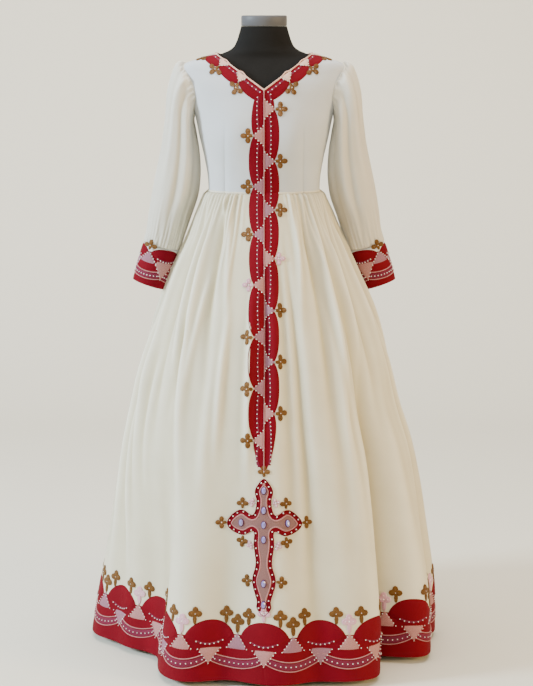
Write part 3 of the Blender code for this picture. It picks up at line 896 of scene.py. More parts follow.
@dataclass
class Studs:
    """Many beads or stones, each a rounded or cut form set on the cloth, joined into one mesh."""

    places: list[Array] = field(default_factory=list)
    headings: list[Array] = field(default_factory=list)
    normals: list[Array] = field(default_factory=list)
    sizes: list[Array] = field(default_factory=list)

    def add(
        self, band: Surface, along: Array, across: Array, lift: float,
        size: tuple[float, float, float], heading: Array | None = None,
    ) -> None:
        """Set studs at places of a band.

        Args:
            band: the coordinates that they lie in.
            along: places along the band.
            across: places across the band.
            lift: height of their middles over the cloth.
            size: half length, half width and half height.
            heading: directions of their length in the band's coordinates, or None for along.
        """
        along, across = pair(along, across)
        place, tangent, normal = band.frame(along, across)
        side = band.hand * np.cross(normal, tangent)
        if heading is None:
            ahead = tangent
        else:
            heading = unit(np.broadcast_to(heading, along.shape + (2,)))
            ahead = tangent * heading[..., :1] + side * heading[..., 1:]
        self.places.append((place + normal * (CLOTH + lift)).reshape(-1, 3))
        self.headings.append(unit(ahead).reshape(-1, 3))
        self.normals.append(normal.reshape(-1, 3))
        self.sizes.append(np.broadcast_to(np.array(size), along.shape + (3,)).reshape(-1, 3))

    def build(
        self, name: str, slot: str, finish: bpy.types.Material, form_of: Form = Form.BEAD,
        sides: int = 8,
    ) -> bpy.types.Object:
        """Join the studs into one mesh, each a turned form scaled to its own size."""
        rings, smooth = form_of.value
        turn = np.linspace(0, 2 * np.pi, sides, endpoint=False)
        radius, rise = np.array(rings).T
        form = np.stack([
            radius[:, None] * np.cos(turn), radius[:, None] * np.sin(turn),
            rise[:, None] + 0 * turn,
        ], axis=-1).reshape(-1, 3)
        place, ahead = np.concatenate(self.places), np.concatenate(self.headings)
        normal, size = np.concatenate(self.normals), np.concatenate(self.sizes)
        side = np.cross(normal, ahead)
        scaled = form[None] * size[:, None]
        points = (
            place[:, None] + scaled[..., :1] * ahead[:, None]
            + scaled[..., 1:2] * side[:, None] + scaled[..., 2:] * normal[:, None]
        )
        one = quads(len(rings), sides, closed=True)
        start = np.arange(len(place))[:, None, None] * len(form)
        mesh = fill_mesh(name, points.reshape(-1, 3), (one[None] + start).reshape(-1, 4), smooth)
        mesh.materials.append(finish)
        return place_object(name, mesh, slot)


# ---- shared shader effects


class Nodes:
    """A node tree with short ways to add nodes and links."""

    def __init__(self, tree: bpy.types.NodeTree) -> None:
        """Keep the tree."""
        self.tree = tree

    def add(self, kind: str, **settings: object) -> bpy.types.Node:
        """Add a node of a kind, with its settings."""
        made = self.tree.nodes.new(kind)
        for key, value in settings.items():
            setattr(made, key, value)
        return made

    def link(self, start: bpy.types.NodeSocket, end: bpy.types.NodeSocket) -> None:
        """Link an output to an input."""
        self.tree.links.new(start, end)

    def math(self, operation: str, *values: object) -> bpy.types.NodeSocket:
        """A Math node on sockets or numbers; returns its output."""
        made = self.add("ShaderNodeMath", operation=operation)
        for socket, value in zip(made.inputs, values):
            if isinstance(value, bpy.types.NodeSocket):
                self.link(value, socket)
            else:
                socket.default_value = value
        return made.outputs[0]

    def noise(self, vector: bpy.types.NodeSocket, scale: float, detail: float) -> bpy.types.NodeSocket:
        """A Noise texture's value over a vector."""
        made = self.add("ShaderNodeTexNoise")
        made.inputs["Scale"].default_value = scale
        made.inputs["Detail"].default_value = detail
        self.link(vector, made.inputs["Vector"])
        return made.outputs["Fac"]

    def mix(
        self, share: bpy.types.NodeSocket, low: tuple[float, ...], high: tuple[float, ...],
    ) -> bpy.types.NodeSocket:
        """A colour between two by a value; returns the colour output."""
        made = self.add("ShaderNodeMix", data_type="RGBA")
        self.link(share, made.inputs["Factor"])
        made.inputs["A"].default_value = (*low, 1.0)
        made.inputs["B"].default_value = (*high, 1.0)
        return made.outputs["Result"]

    def tint(
        self, share: bpy.types.NodeSocket, colour: bpy.types.NodeSocket, tint: tuple[float, ...],
    ) -> bpy.types.NodeSocket:
        """A colour multiplied by a tint as far as the share says; returns the colour output."""
        made = self.add("ShaderNodeMix", data_type="RGBA", blend_type="MULTIPLY")
        self.link(share, made.inputs["Factor"])
        self.link(colour, made.inputs["A"])
        made.inputs["B"].default_value = (*tint, 1.0)
        return made.outputs["Result"]


def texture_group(name: str) -> tuple[Nodes, tuple, tuple]:
    """A shader node group from a vector and a thread's pitch to a height and a shade.

    Args:
        name: the group's name.

    Returns:
        The group's nodes; its vector, the vector's x and y, and a whole turn over the pitch; and
        the sockets that take the height and the shade.
    """
    group = bpy.data.node_groups.new(name, "ShaderNodeTree")
    for item, way, kind in (
        ("Vector", "INPUT", "Vector"), ("Pitch", "INPUT", "Float"),
        ("Height", "OUTPUT", "Float"), ("Shade", "OUTPUT", "Float"),
    ):
        group.interface.new_socket(item, in_out=way, socket_type=f"NodeSocket{kind}")
    nodes = Nodes(group)
    start, end = nodes.add("NodeGroupInput"), nodes.add("NodeGroupOutput")
    vector = start.outputs["Vector"]
    parts = nodes.add("ShaderNodeSeparateXYZ")
    nodes.link(vector, parts.inputs[0])
    turns = nodes.math("DIVIDE", WHOLE_TURN, start.outputs["Pitch"])
    read = (vector, parts.outputs["X"], parts.outputs["Y"], turns)
    return nodes, read, (end.inputs["Height"], end.inputs["Shade"])


def weave_group() -> bpy.types.NodeTree:
    """Plain weave: two crossed sine waves at the thread's pitch, with uneven thread thickness."""
    nodes, (vector, x, y, turns), (height, shade) = texture_group("Plain weave")
    warp = nodes.math("SINE", nodes.math("MULTIPLY", x, turns))
    weft = nodes.math("SINE", nodes.math("MULTIPLY", y, turns))
    slub = nodes.noise(vector, 900.0, 3.0)
    cloud = nodes.math("MULTIPLY", nodes.noise(vector, 14.0, 4.0), 0.55)
    crossed = nodes.math("MULTIPLY", warp, weft)
    nodes.link(nodes.math("ADD", nodes.math("MULTIPLY", crossed, 0.5), slub), height)
    nodes.link(nodes.math("ADD", nodes.math("MULTIPLY", slub, 0.45), cloud), shade)
    return nodes.tree


def stitch_group() -> bpy.types.NodeTree:
    """Satin stitch: close slanting threads across the motif, each of its own lightness."""
    nodes, (vector, x, y, turns), (height, shade) = texture_group("Satin stitch")
    slant = nodes.math("ADD", x, nodes.math("MULTIPLY", y, 0.35))
    thread_wave = nodes.math("SINE", nodes.math("MULTIPLY", slant, turns))
    uneven = nodes.noise(vector, 420.0, 2.0)
    for share, socket in ((0.5, height), (0.28, shade)):
        nodes.link(nodes.math("ADD", nodes.math("MULTIPLY", thread_wave, share), uneven), socket)
    return nodes.tree


WEAVE = weave_group()
STITCH = stitch_group()


@dataclass(frozen=True)
class Finish:
    """A finish: two close colours that its texture moves between, how it takes light, and a trough tint
    painted into its colour as shade in the cloth's creases.
    """

    name: str
    low: tuple[float, float, float]
    high: tuple[float, float, float]
    roughness: float = 0.8
    metallic: float = 0.0
    sheen: float = 0.0
    coat: float = 0.0
    alpha: float = 1.0
    pitch: float = 0.0006
    bump: float = 0.25
    stitched: bool = False
    uv: str = ""
    specular: float = 0.2
    # trough: the tint multiplied into the colour in the troughs of the Fold map; painted shade.
    trough: tuple[float, float, float] | None = None

    def build(self) -> bpy.types.Material:
        """Make the material: texture to colour and bump, constants on the shader itself."""
        made = bpy.data.materials.new(self.name)
        made.use_nodes = True
        made.node_tree.nodes.clear()
        nodes = Nodes(made.node_tree)
        out = nodes.add("ShaderNodeOutputMaterial")
        shader = nodes.add("ShaderNodeBsdfPrincipled")
        if self.uv:
            vector = nodes.add("ShaderNodeUVMap", uv_map=self.uv).outputs["UV"]
        else:
            vector = nodes.add("ShaderNodeTexCoord").outputs["Object"]
        effect = nodes.add("ShaderNodeGroup")
        effect.node_tree = STITCH if self.stitched else WEAVE
        nodes.link(vector, effect.inputs["Vector"])
        effect.inputs["Pitch"].default_value = self.pitch
        colour = nodes.mix(effect.outputs["Shade"], self.low, self.high)
        # Painted shade: the colour is multiplied towards the trough tint where the Fold map marks a
        # trough.
        if self.trough:
            fold = nodes.add("ShaderNodeSeparateXYZ")
            nodes.link(nodes.add("ShaderNodeUVMap", uv_map="Fold").outputs["UV"], fold.inputs[0])
            crease_shade_share = nodes.math("SUBTRACT", 1.0, fold.outputs["X"])
            colour = nodes.tint(crease_shade_share, colour, self.trough)
        nodes.link(colour, shader.inputs["Base Color"])
        bump_node = nodes.add("ShaderNodeBump")
        bump_node.inputs["Strength"].default_value = self.bump
        bump_node.inputs["Distance"].default_value = 0.0004
        nodes.link(effect.outputs["Height"], bump_node.inputs["Height"])
        nodes.link(bump_node.outputs["Normal"], shader.inputs["Normal"])
        for socket, value in (
            ("Roughness", self.roughness), ("Metallic", self.metallic), ("Alpha", self.alpha),
            ("Sheen Weight", self.sheen), ("Coat Weight", self.coat),
            ("Specular IOR Level", self.specular),
        ):
            shader.inputs[socket].default_value = value
        nodes.link(shader.outputs["BSDF"], out.inputs["Surface"])
        return made


def thread(
    name: str, low: tuple[float, float, float], high: tuple[float, float, float],
    pitch: float = 0.0016, specular: float = 0.15,
) -> Finish:
    """A satin-stitched thread between two close colours.

    Args:
        name: the finish's name.
        low: its darker colour.
        high: its lighter colour.
        pitch: metres from thread to thread.
        specular: how much it shines.

    Returns:
        The finish.
    """
    return Finish(
        name, low, high, 0.55, stitched=True, uv="Stitch", pitch=pitch, bump=0.6, specular=specular
    )


# The trough tints of the cotton, bodice and gauze finishes are painted shade in their creases.
FINISHES = {
    "cotton": Finish(
        "Cotton", (0.70, 0.655, 0.51), (0.90, 0.86, 0.71), 0.88, sheen=0.03, uv="Cloth",
        trough=(0.64, 0.59, 0.46),
    ),
    # Painted light: the bodice's bluish tint stands in for the cool key light on it; its white is the
    # lined bodice's own colour, and its grey trough tint is painted shade.
    "bodice": Finish(
        "Bodice cotton with painted cool light", (0.665, 0.695, 0.72), (0.86, 0.895, 0.935), 0.88, sheen=0.03,
        uv="Cloth", trough=(0.50, 0.50, 0.50),
    ),
    "gauze": Finish(
        "Sleeve gauze", (0.80, 0.77, 0.69), (0.95, 0.93, 0.86), 0.8, sheen=0.05, alpha=0.78,
        uv="Cloth", trough=(0.70, 0.66, 0.56),
    ),
    "gauze_solid": Finish(
        "Cuff lining", (0.74, 0.73, 0.69), (0.88, 0.87, 0.84), 0.8, sheen=0.1, uv="Cloth"
    ),
    "cotton_cord": Finish(
        "Seam cotton", (0.68, 0.635, 0.51), (0.85, 0.81, 0.69), 0.85, sheen=0.03, uv="Stitch"
    ),
    "red": Finish(
        "Red cloth", (0.088, 0.0010, 0.0050), (0.215, 0.0026, 0.0120), 0.7, uv="Stitch",
        specular=0.08,
    ),
    "mauve": thread("Mauve thread", (0.19, 0.068, 0.100), (0.41, 0.215, 0.270)),
    "pink": thread("Pink thread", (0.28, 0.095, 0.10), (0.55, 0.29, 0.27)),
    "magenta": thread(
        "Magenta thread", (0.080, 0.003, 0.012), (0.235, 0.030, 0.070), 0.0034, 0.12
    ),
    "tan": thread("Tan thread", (0.14, 0.062, 0.058), (0.31, 0.165, 0.150)),
    "piping": Finish(
        "Pink piping", (0.55, 0.30, 0.23), (0.85, 0.58, 0.45), 0.5, stitched=True, uv="Stitch",
        pitch=0.0020, bump=0.5,
    ),
    "gold": Finish(
        "Bronze bullion", (0.045, 0.015, 0.003), (0.25, 0.110, 0.020), 0.42, metallic=0.35,
        stitched=True, pitch=0.0013, bump=0.9, specular=0.3,
    ),
    "pearl": Finish(
        "Pearl bead", (0.74, 0.66, 0.58), (0.95, 0.90, 0.86), 0.16, coat=0.6, bump=0.05,
        specular=0.5,
    ),
    "pink_bead": Finish(
        "Pink bead", (0.46, 0.19, 0.26), (0.78, 0.48, 0.56), 0.25, coat=0.5, bump=0.05,
        specular=0.5,
    ),
    "gem": Finish(
        "Lilac stone", (0.075, 0.045, 0.24), (0.42, 0.38, 0.78), 0.06, coat=1.0, bump=0.02,
        specular=0.6,
    ),
    "gem_rim": Finish(
        "Stone setting", (0.035, 0.004, 0.028), (0.10, 0.018, 0.08), 0.4, bump=0.4
    ),
    "jersey": Finish(
        "Black jersey", (0.007, 0.0065, 0.006), (0.017, 0.016, 0.015), 0.9, specular=0.1
    ),
    "cap": Finish("Cap satin", (0.080, 0.080, 0.086), (0.128, 0.128, 0.136), 0.45, bump=0.1),
    "steel": Finish(
        "Brushed steel", (0.45, 0.45, 0.46), (0.62, 0.62, 0.63), 0.32, metallic=1.0, bump=0.05
    ),
    "pale": Finish(
        "Pale paper", (0.755, 0.715, 0.605), (0.77, 0.73, 0.62), 0.95, bump=0.0, specular=0.0
    ),
}


# ---- embroidery


@dataclass
class Embroidery:
    """Everything laid on the cloth of one band: cloth shapes, stitched motifs, beads and crosses."""

    name: str
    slot = "band"
    cloth: Patchwork = field(default_factory=Patchwork)
    motifs: Patchwork = field(default_factory=Patchwork)
    pearls: Studs = field(default_factory=Studs)
    gold: Studs = field(default_factory=Studs)
    pink: Studs = field(default_factory=Studs)

    def area(
        self, band: Surface, low: Array | float, high: Array, along: Array, rows: int,
        lift: float, puff: float = 0.0, tone: Tone = Tone.RED,
        into: Patchwork | None = None,
    ) -> None:
        """Cover the part of a band between two edges with a raised sheet.

        Args:
            band: the coordinates that it lies in.
            low: the lower edge across the band, at each place along it.
            high: the upper edge.
            along: places along the band, rising.
            rows: how many rows of points across.
            lift: its height over the cloth.
            puff: extra height at its middle.
            tone: its colour.
            into: the mesh that takes it, the cloth if left out.
        """
        t = np.linspace(0, 1, rows)[:, None]
        a = np.broadcast_to(along, (rows, len(along)))
        b = low + (high - low) * t
        points = pad(band, a[None], b[None], lift, puff)
        uv = np.stack([a, b], axis=-1)
        (self.cloth if into is None else into).add(points, uv[None], tone, band.hand)

    def triangles(
        self, band: Surface, centres: Array, base: float, apex: float, half: float, tone: Tone,
        beads: int, curve: float = 0.0,
    ) -> None:
        """Raised triangles with beads along both slanting sides.

        Args:
            band: the coordinates that they lie in.
            centres: places of their middles along the band.
            base: the base's place across the band.
            apex: the apex's place across the band.
            half: half the base's length.
            tone: their colour.
            beads: beads on each side, the apex's own included.
            curve: how far the base bows away from the apex, in metres.
        """
        rising = apex > base
        t = np.linspace(0, 1, 7)[:, None]
        u = np.linspace(-1, 1, 9)[None, :]
        width = half * np.maximum(1 - t, 0.03)
        a = centres[:, None, None] + (width * u)[None]
        bow = curve * (1 - u**2) * (1 - t) * (-1 if rising else 1)
        b = np.broadcast_to((base + (apex - base) * t + bow)[None], a.shape)
        points = pad(band, a, b, 0.0021, 0.0007, 0.0009)
        hand = band.hand if rising else -band.hand
        self.motifs.add(points, np.stack([a, b], axis=-1), tone, hand)
        t = np.linspace(0.04, 1.0, beads)
        for way in (-1, 1):
            place = centres[:, None] + way * half * (1 - t)[None] * 1.02
            level = np.broadcast_to(base + (apex - base) * t, place.shape)
            self.pearls.add(band, place, level, 0.0030, (0.0015, 0.0015, 0.0013))

    def cord(
        self, band: Surface, a: Array, b: Array, half: float, lift: float, tone: Tone,
    ) -> None:
        """A raised cord along a path of the band: a half ellipse in section.

        Args:
            band: the coordinates that it lies in.
            a: places along the band, one for each point of the path.
            b: places across it.
            half: half the cord's width.
            lift: its height at the middle.
            tone: its colour.
        """
        path = np.stack([a, b], axis=-1)
        ahead = unit(np.gradient(path, axis=0))
        left = np.stack([-ahead[:, 1], ahead[:, 0]], axis=-1)
        v = np.linspace(-1, 1, 5)[:, None]
        spread = path[None] + left[None] * (half * v)[..., None]
        height = 0.0008 + (lift - 0.0008) * np.sqrt(1 - v**2) + 0 * spread[..., 0]
        points = band.raised(spread[..., 0], spread[..., 1], CLOTH + height)
        uv = np.stack(np.broadcast_arrays(walked(path)[None], half * v), axis=-1)
        self.motifs.add(points[None], uv[None], tone, band.hand)

    def cross(
        self, band: Surface, a: Sequence[float] | Array, b: Sequence[float] | Array | float,
        heading: tuple[float, float], size: float, stem: float, pink: bool = False,
    ) -> None:
        """Small crosses of four rounded lobes on a stem, with a bead in the middle.

        Args:
            band: the coordinates that they lie in.
            a: places of their feet along the band.
            b: places of their feet across it.
            heading: the way the stem points, along and across the band.
            size: from foot to tip.
            stem: the crossing's place as a share of the size.
            pink: pale beaded pink instead of bronze.
        """
        a, b = pair(a, b)
        ahead = np.array(heading) / np.hypot(*heading)
        side = np.array([-ahead[1], ahead[0]])
        lobe = size * (0.195 if stem > 0.5 else 0.232)
        reach = size * (1 - stem) - lobe
        into = self.pink if pink else self.gold
        middle = ahead * size * stem
        for way in (ahead, side, -side):
            spot = middle + way * reach
            into.add(
                band, a + spot[0], b + spot[1], 0.0014,
                (lobe * 1.12, lobe * 0.94, 0.0016), np.array(way),
            )
        spot = ahead * size * stem * 0.48
        into.add(
            band, a + spot[0], b + spot[1], 0.0012,
            (size * stem * 0.5, lobe * 0.62, 0.0014), ahead,
        )
        self.pearls.add(
            band, a + middle[0], b + middle[1], 0.0026,
            (0.0013, 0.0013, 0.0011) if not pink else (0.0019, 0.0019, 0.0013),
        )
        if not pink:
            self.gold.add(band, a + middle[0], b + middle[1], 0.0010, (lobe, lobe, 0.0014), ahead)
        else:
            for way in (ahead, side, -side):
                spot = middle + way * reach * 1.1
                self.pearls.add(band, a + spot[0], b + spot[1], 0.0030, (0.0011, 0.0011, 0.001))

    def build(
        self, nodes: Sequence[str], cut: tuple[float, float], under: Sequence[str],
    ) -> None:
        """Build the band's meshes.

        Args:
            nodes: what the band's cloth stands for.
            cut: the width and length of the cloth before it was sewn on; not used.
            under: names of the sheets that it is sewn to; not used.
        """
        threads = [LOOKS[name] for name in ("red", "mauve", "pink", "magenta", "tan", "piping")]
        cloth = self.cloth.build(f"{self.name}_cloth", self.slot, threads, nodes)
        list(under)
        if self.motifs.points:
            self.motifs.build(f"{self.name}_stitches", self.slot, threads)
        for studs, kind, look, form in (
            (self.pearls, "pearls", "pearl", Form.BEAD), (self.gold, "crosses", "gold", Form.PETAL),
            (self.pink, "pink_crosses", "pink_bead", Form.PETAL),
        ):
            if studs.places:
                studs.build(f"{self.name}_{kind}", self.slot, LOOKS[look], form)


@dataclass(frozen=True)
class Repeat:
    """The sizes of one repeat of the wide band, up from its lower edge, in metres."""

    pitch: float
    swag_low: tuple[float, float]
    swag_high: tuple[float, float]
    down: tuple[float, float, float]
    up: tuple[float, float, float]
    notch: float
    leaf_top: float
    leaf_foot: float
    leaf_half: float
    row_at: float
    row_half: float

    def leaf_edge(self, along: Array) -> Array:
        """The scalloped upper edge: a low arch over each leaf, down to the notches between."""
        away = np.abs((along / self.pitch + 0.5) % 1.0 - 0.5) * self.pitch / self.leaf_half
        arch = np.clip(1 - away**2.2, 0.0, 1.0) ** 0.72
        return self.notch + (self.leaf_top - self.notch) * arch

    def stitch(self, work: Embroidery, band: Surface, count: int) -> None:
        """Lay the whole band of this repeat on the cloth.

        Args:
            work: takes the pieces.
            band: the coordinates of the band.
            count: how many repeats go round.
        """
        columns = 44 * count + 1
        round_way = np.linspace(0, self.pitch * count, columns)
        work.area(
            band, 0.0, self.leaf_edge(round_way), round_way, 12, 0.0010
        )
        leaves = self.pitch * np.arange(count)
        notches = leaves + self.pitch / 2
        t = np.linspace(-1, 1, 23)
        lower = self.notch + (self.leaf_foot - self.notch) * (1 - np.abs(t) ** 2.0) ** 0.75
        for number, (leaf, notch) in enumerate(zip(leaves, notches)):
            reach = leaf + self.leaf_half * t
            upper = self.leaf_edge(reach) - 0.0006
            work.area(band, lower, upper, reach, 7, 0.0016, 0.0012)
            row = leaf + self.row_half * np.linspace(-1, 1, 15)
            bow = (1 - np.linspace(-1, 1, 15) ** 2) * BOW * self.pitch / BOW_PITCH
            work.area(
                band, self.row_at + 0.002 - bow, self.row_at + 0.0135 - bow, row, 3, 0.0030,
                0.0005, Tone.MAGENTA, work.motifs,
            )
            beads = np.linspace(-0.92, 0.92, 7)
            work.pearls.add(
                band, leaf + self.row_half * beads,
                self.row_at + 0.0065 - (1 - beads**2) * BOW * self.pitch / BOW_PITCH, 0.0042,
                (0.0016, 0.0016, 0.0013),
            )
            u = np.linspace(-1, 1, 25)
            sway = notch + self.pitch / 2 * u * 0.94
            highs = self.swag_high[0] + (self.swag_high[1] - self.swag_high[0]) * u**2
            lows = self.swag_low[0] + (self.swag_low[1] - self.swag_low[0]) * u**2
            work.area(band, lows, highs, sway, 4, 0.0016, 0.0004, Tone.MAGENTA, work.motifs)
            for edge in (highs, lows):
                work.cord(band, sway, edge, 0.0013, 0.0032, Tone.PINK)
            beads = np.linspace(-0.78, 0.78, 10)
            middle = (np.interp(beads, u, highs) + np.interp(beads, u, lows)) / 2
            work.pearls.add(
                band, notch + self.pitch / 2 * beads, middle, 0.0030, (0.0016, 0.0016, 0.0013)
            )
            tones = (Tone.MAUVE, Tone.PINK) if number % 2 else (Tone.PINK, Tone.MAUVE)
            for place, sizes, tone in ((leaf, self.down, tones[0]), (notch, self.up, tones[1])):
                work.triangles(band, np.array([place]), *sizes, tone, 6, 0.0015)


HEM_REPEAT = Repeat(
    0.1430, (0.0310, 0.050), (0.0535, 0.070), (0.0800, 0.0430, 0.029), (0.0780, 0.1150, 0.028),
    0.1120, 0.1480, 0.0800, 0.0610, 0.0925, 0.036,
)
CUFF_REPEAT = Repeat(
    0.0890, (0.0170, 0.024), (0.0360, 0.044), (0.0670, 0.0240, 0.026), (0.0590, 0.0890, 0.024),
    0.0880, 0.1040, 0.0680, 0.0400, 0.0690, 0.022,
)


@dataclass(frozen=True)
class EdgeStrip:
    """A narrow band along an edge or a middle line: leaves that bulge outward between triangles."""

    apexes: tuple[float, ...]
    end: float
    start_width: float
    end_width: float
    notch: float
    bulge: float
    half: float
    apex: float
    row: float

    def width(self, along: Array) -> Array:
        """The outer edge: an arch over each leaf, drawn in at each triangle's apex and both ends."""
        knots = np.array([0.0, *self.apexes, self.end])
        edge = np.array([self.start_width, *([self.notch] * len(self.apexes)), self.end_width])
        at = np.clip(np.searchsorted(knots, along) - 1, 0, len(knots) - 2)
        u = 2 * (along - knots[at]) / (knots[at + 1] - knots[at]) - 1
        usual = np.diff(knots)[1:-1].mean()
        swell = np.minimum(1.0, (knots[at + 1] - knots[at]) / usual)
        arch = np.clip(1 - np.abs(u) ** 2.4, 0.0, 1.0) ** 0.75
        return np.interp(along, knots, edge) + self.bulge * swell * arch

    def stitch(self, work: Embroidery, band: Surface, tones: Sequence[Tone]) -> None:
        """Lay the strip on the cloth.

        Args:
            work: takes the pieces.
            band: the coordinates of the strip.
            tones: the triangles' colours, used in turn.
        """
        along = np.linspace(0.0, self.end, int(self.end / 0.0024) + 2)
        along = np.unique(np.concatenate([along, self.apexes]))
        work.area(band, 0.0, self.width(along), along, 8, 0.0010, 0.0006)
        knots = np.array([0.0, *self.apexes, self.end])
        for low, high in zip(knots[:-1], knots[1:]):
            middle, reach = (low + high) / 2, (high - low) / 2 - 0.30 * self.half
            if reach < 0.010:
                continue
            u = np.linspace(-1, 1, 21)
            place = middle + reach * 0.86 * u
            inner = self.row - 0.0045 - 0.004 * u**2 * (self.row > 0.01)
            outer = self.row + 0.0030 - 0.004 * u**2 * (self.row > 0.01)
            work.area(
                band, inner, outer, place, 3, 0.0022, 0.0003, Tone.MAGENTA, work.motifs,
            )
            count = max(3, int(2 * reach * 0.8 / 0.0090))
            beads = np.linspace(-0.78, 0.78, count)
            work.pearls.add(
                band, middle + reach * beads, self.row - 0.002 * beads**2, 0.0034,
                (0.0014, 0.0014, 0.0012),
            )
        for number, place in enumerate(self.apexes):
            work.triangles(
                band, np.array([place]), 0.0006, self.apex, self.half,
                tones[number % len(tones)], 5,
            )


@dataclass(frozen=True)
class CrossPlate:
    """The large cross: a red plate, a thread field inside its border, stones and crosses round it."""

    border: float = 0.0105
    stones: tuple[tuple[float, float], ...] = (
        (0.0, 0.081), (0.0, 0.034), (0.0, 0.0), (0.0, -0.035), (0.0, -0.139), (0.0, -0.189),
        (0.056, 0.002), (-0.056, 0.002),
    )

    def outline(self, inset: float = 0.0, count: int = 420) -> Array:
        """The outline as a closed loop in metres, evenly spaced, moved in by the inset."""
        right = np.array(CROSS_OUTLINE, float) / 1000
        left = right[1:-1][::-1] * np.array([-1.0, 1.0])
        loop = np.concatenate([right, left])
        for _ in range(3):
            after = np.roll(loop, -1, axis=0)
            loop = np.stack([0.75 * loop + 0.25 * after, 0.25 * loop + 0.75 * after], axis=1)
            loop = loop.reshape(-1, 2)
        closed = np.concatenate([loop, loop[:1]])
        at = walked(closed)
        even = np.linspace(0, at[-1], count, endpoint=False)
        loop = np.stack([np.interp(even, at, closed[:, axis]) for axis in (0, 1)], axis=-1)
        ahead = unit(np.roll(loop, -3, axis=0) - np.roll(loop, 3, axis=0))
        inward = np.stack([ahead[:, 1], -ahead[:, 0]], axis=-1)
        return loop + inset * inward

    @staticmethod
    def spine(loop: Array) -> Array:
        """The nearest place on the cross's middle lines for each point of a loop."""
        x, up = loop[:, 0], loop[:, 1]
        arm = ease((np.abs(x) - 0.026) / 0.008)
        corner = (np.abs(x) > 0.0205) & (up > -0.018) & (up < 0.026)
        stem_up = np.where(corner, 0.003, np.clip(up, -0.205, 0.100))
        return np.stack([x * 0.9 * arm, stem_up * (1 - arm) + 0.003 * arm], axis=-1)

    def plate(
        self, band: Surface, inset: float, lift: float, rings: int = 7,
    ) -> tuple[Array, Array]:
        """Points and flat coordinates of a filled cross: rings from the outline to its spine."""
        loop = self.outline(inset)
        loop = np.concatenate([loop, loop[:1]])
        t = np.linspace(0, 1, rings)[:, None, None]
        flat = loop[None] + (self.spine(loop)[None] - loop[None]) * t
        height = lift * np.minimum(1.0, np.array([0.25, 1.0] + [1.1] * (rings - 2)))
        height = np.broadcast_to(height[:, None], flat.shape[:2])
        flat = np.concatenate([flat[:1], flat], axis=0)
        height = np.concatenate([np.full_like(height[:1], RIM), height])
        return band.raised(flat[..., 0], CROSS_UP + flat[..., 1], CLOTH + height), flat

    def stitch(self, work: Embroidery, band: Surface, stones: Studs, rims: Studs) -> None:
        """Lay the cross on the skirt's front.

        Args:
            work: takes the plate, threads, pearls and crosses.
            band: the front's coordinates.
            stones: takes the cut stones.
            rims: takes the dark settings round them.
        """
        points, flat = self.plate(band, 0.0, 0.0012)
        work.cloth.add(points[None], flat[None], Tone.RED, -1)
        points, flat = self.plate(band, self.border, 0.0022)
        work.motifs.add(points[None], flat[None], Tone.TAN, -1)
        for inset, tone, half in ((self.border + 0.0014, Tone.PINK, 0.0020), (0.0008, Tone.RED, 0.0010)):
            loop = self.outline(inset)
            loop = np.concatenate([loop, loop[:1]])
            work.cord(band, loop[:, 0], CROSS_UP + loop[:, 1], half, 0.0033, tone)
        loop = self.outline(self.border * 0.48, 58)
        work.pearls.add(band, loop[:, 0], CROSS_UP + loop[:, 1], 0.0030, (0.0018, 0.0018, 0.0015))
        place = np.array(self.stones)
        upright = np.array([0.0, 1.0])
        for studs, lift, size in (
            (rims, 0.0026, (0.0098, 0.0068, 0.0022)), (stones, 0.0048, (0.0080, 0.0050, 0.0028)),
        ):
            studs.add(band, place[:, 0], CROSS_UP + place[:, 1], lift, size, upright)
        for x, up, heading in (
            (0.0, 0.113, (0, 1)), (0.094, 0.000, (1, 0)), (-0.094, 0.000, (-1, 0)),
            (0.053, 0.036, (0, 1)), (-0.053, 0.036, (0, 1)), (0.053, -0.029, (0.1, -1)),
            (-0.053, -0.029, (-0.1, -1)), (0.029, -0.134, (1, -0.1)), (-0.029, -0.134, (-1, -0.1)),
        ):
            work.cross(band, [x], [CROSS_UP + up], heading, 0.027, 0.46)
        for x, up, heading in (
            (0.021, 0.050, (1, 0.25)), (-0.021, 0.050, (-1, 0.25)),
            (0.026, -0.047, (1, -0.35)), (-0.026, -0.047, (-1, -0.35)),
        ):
            work.cross(band, [x], [CROSS_UP + up], heading, 0.018, 0.42, True)


# ---- the parts of the dress


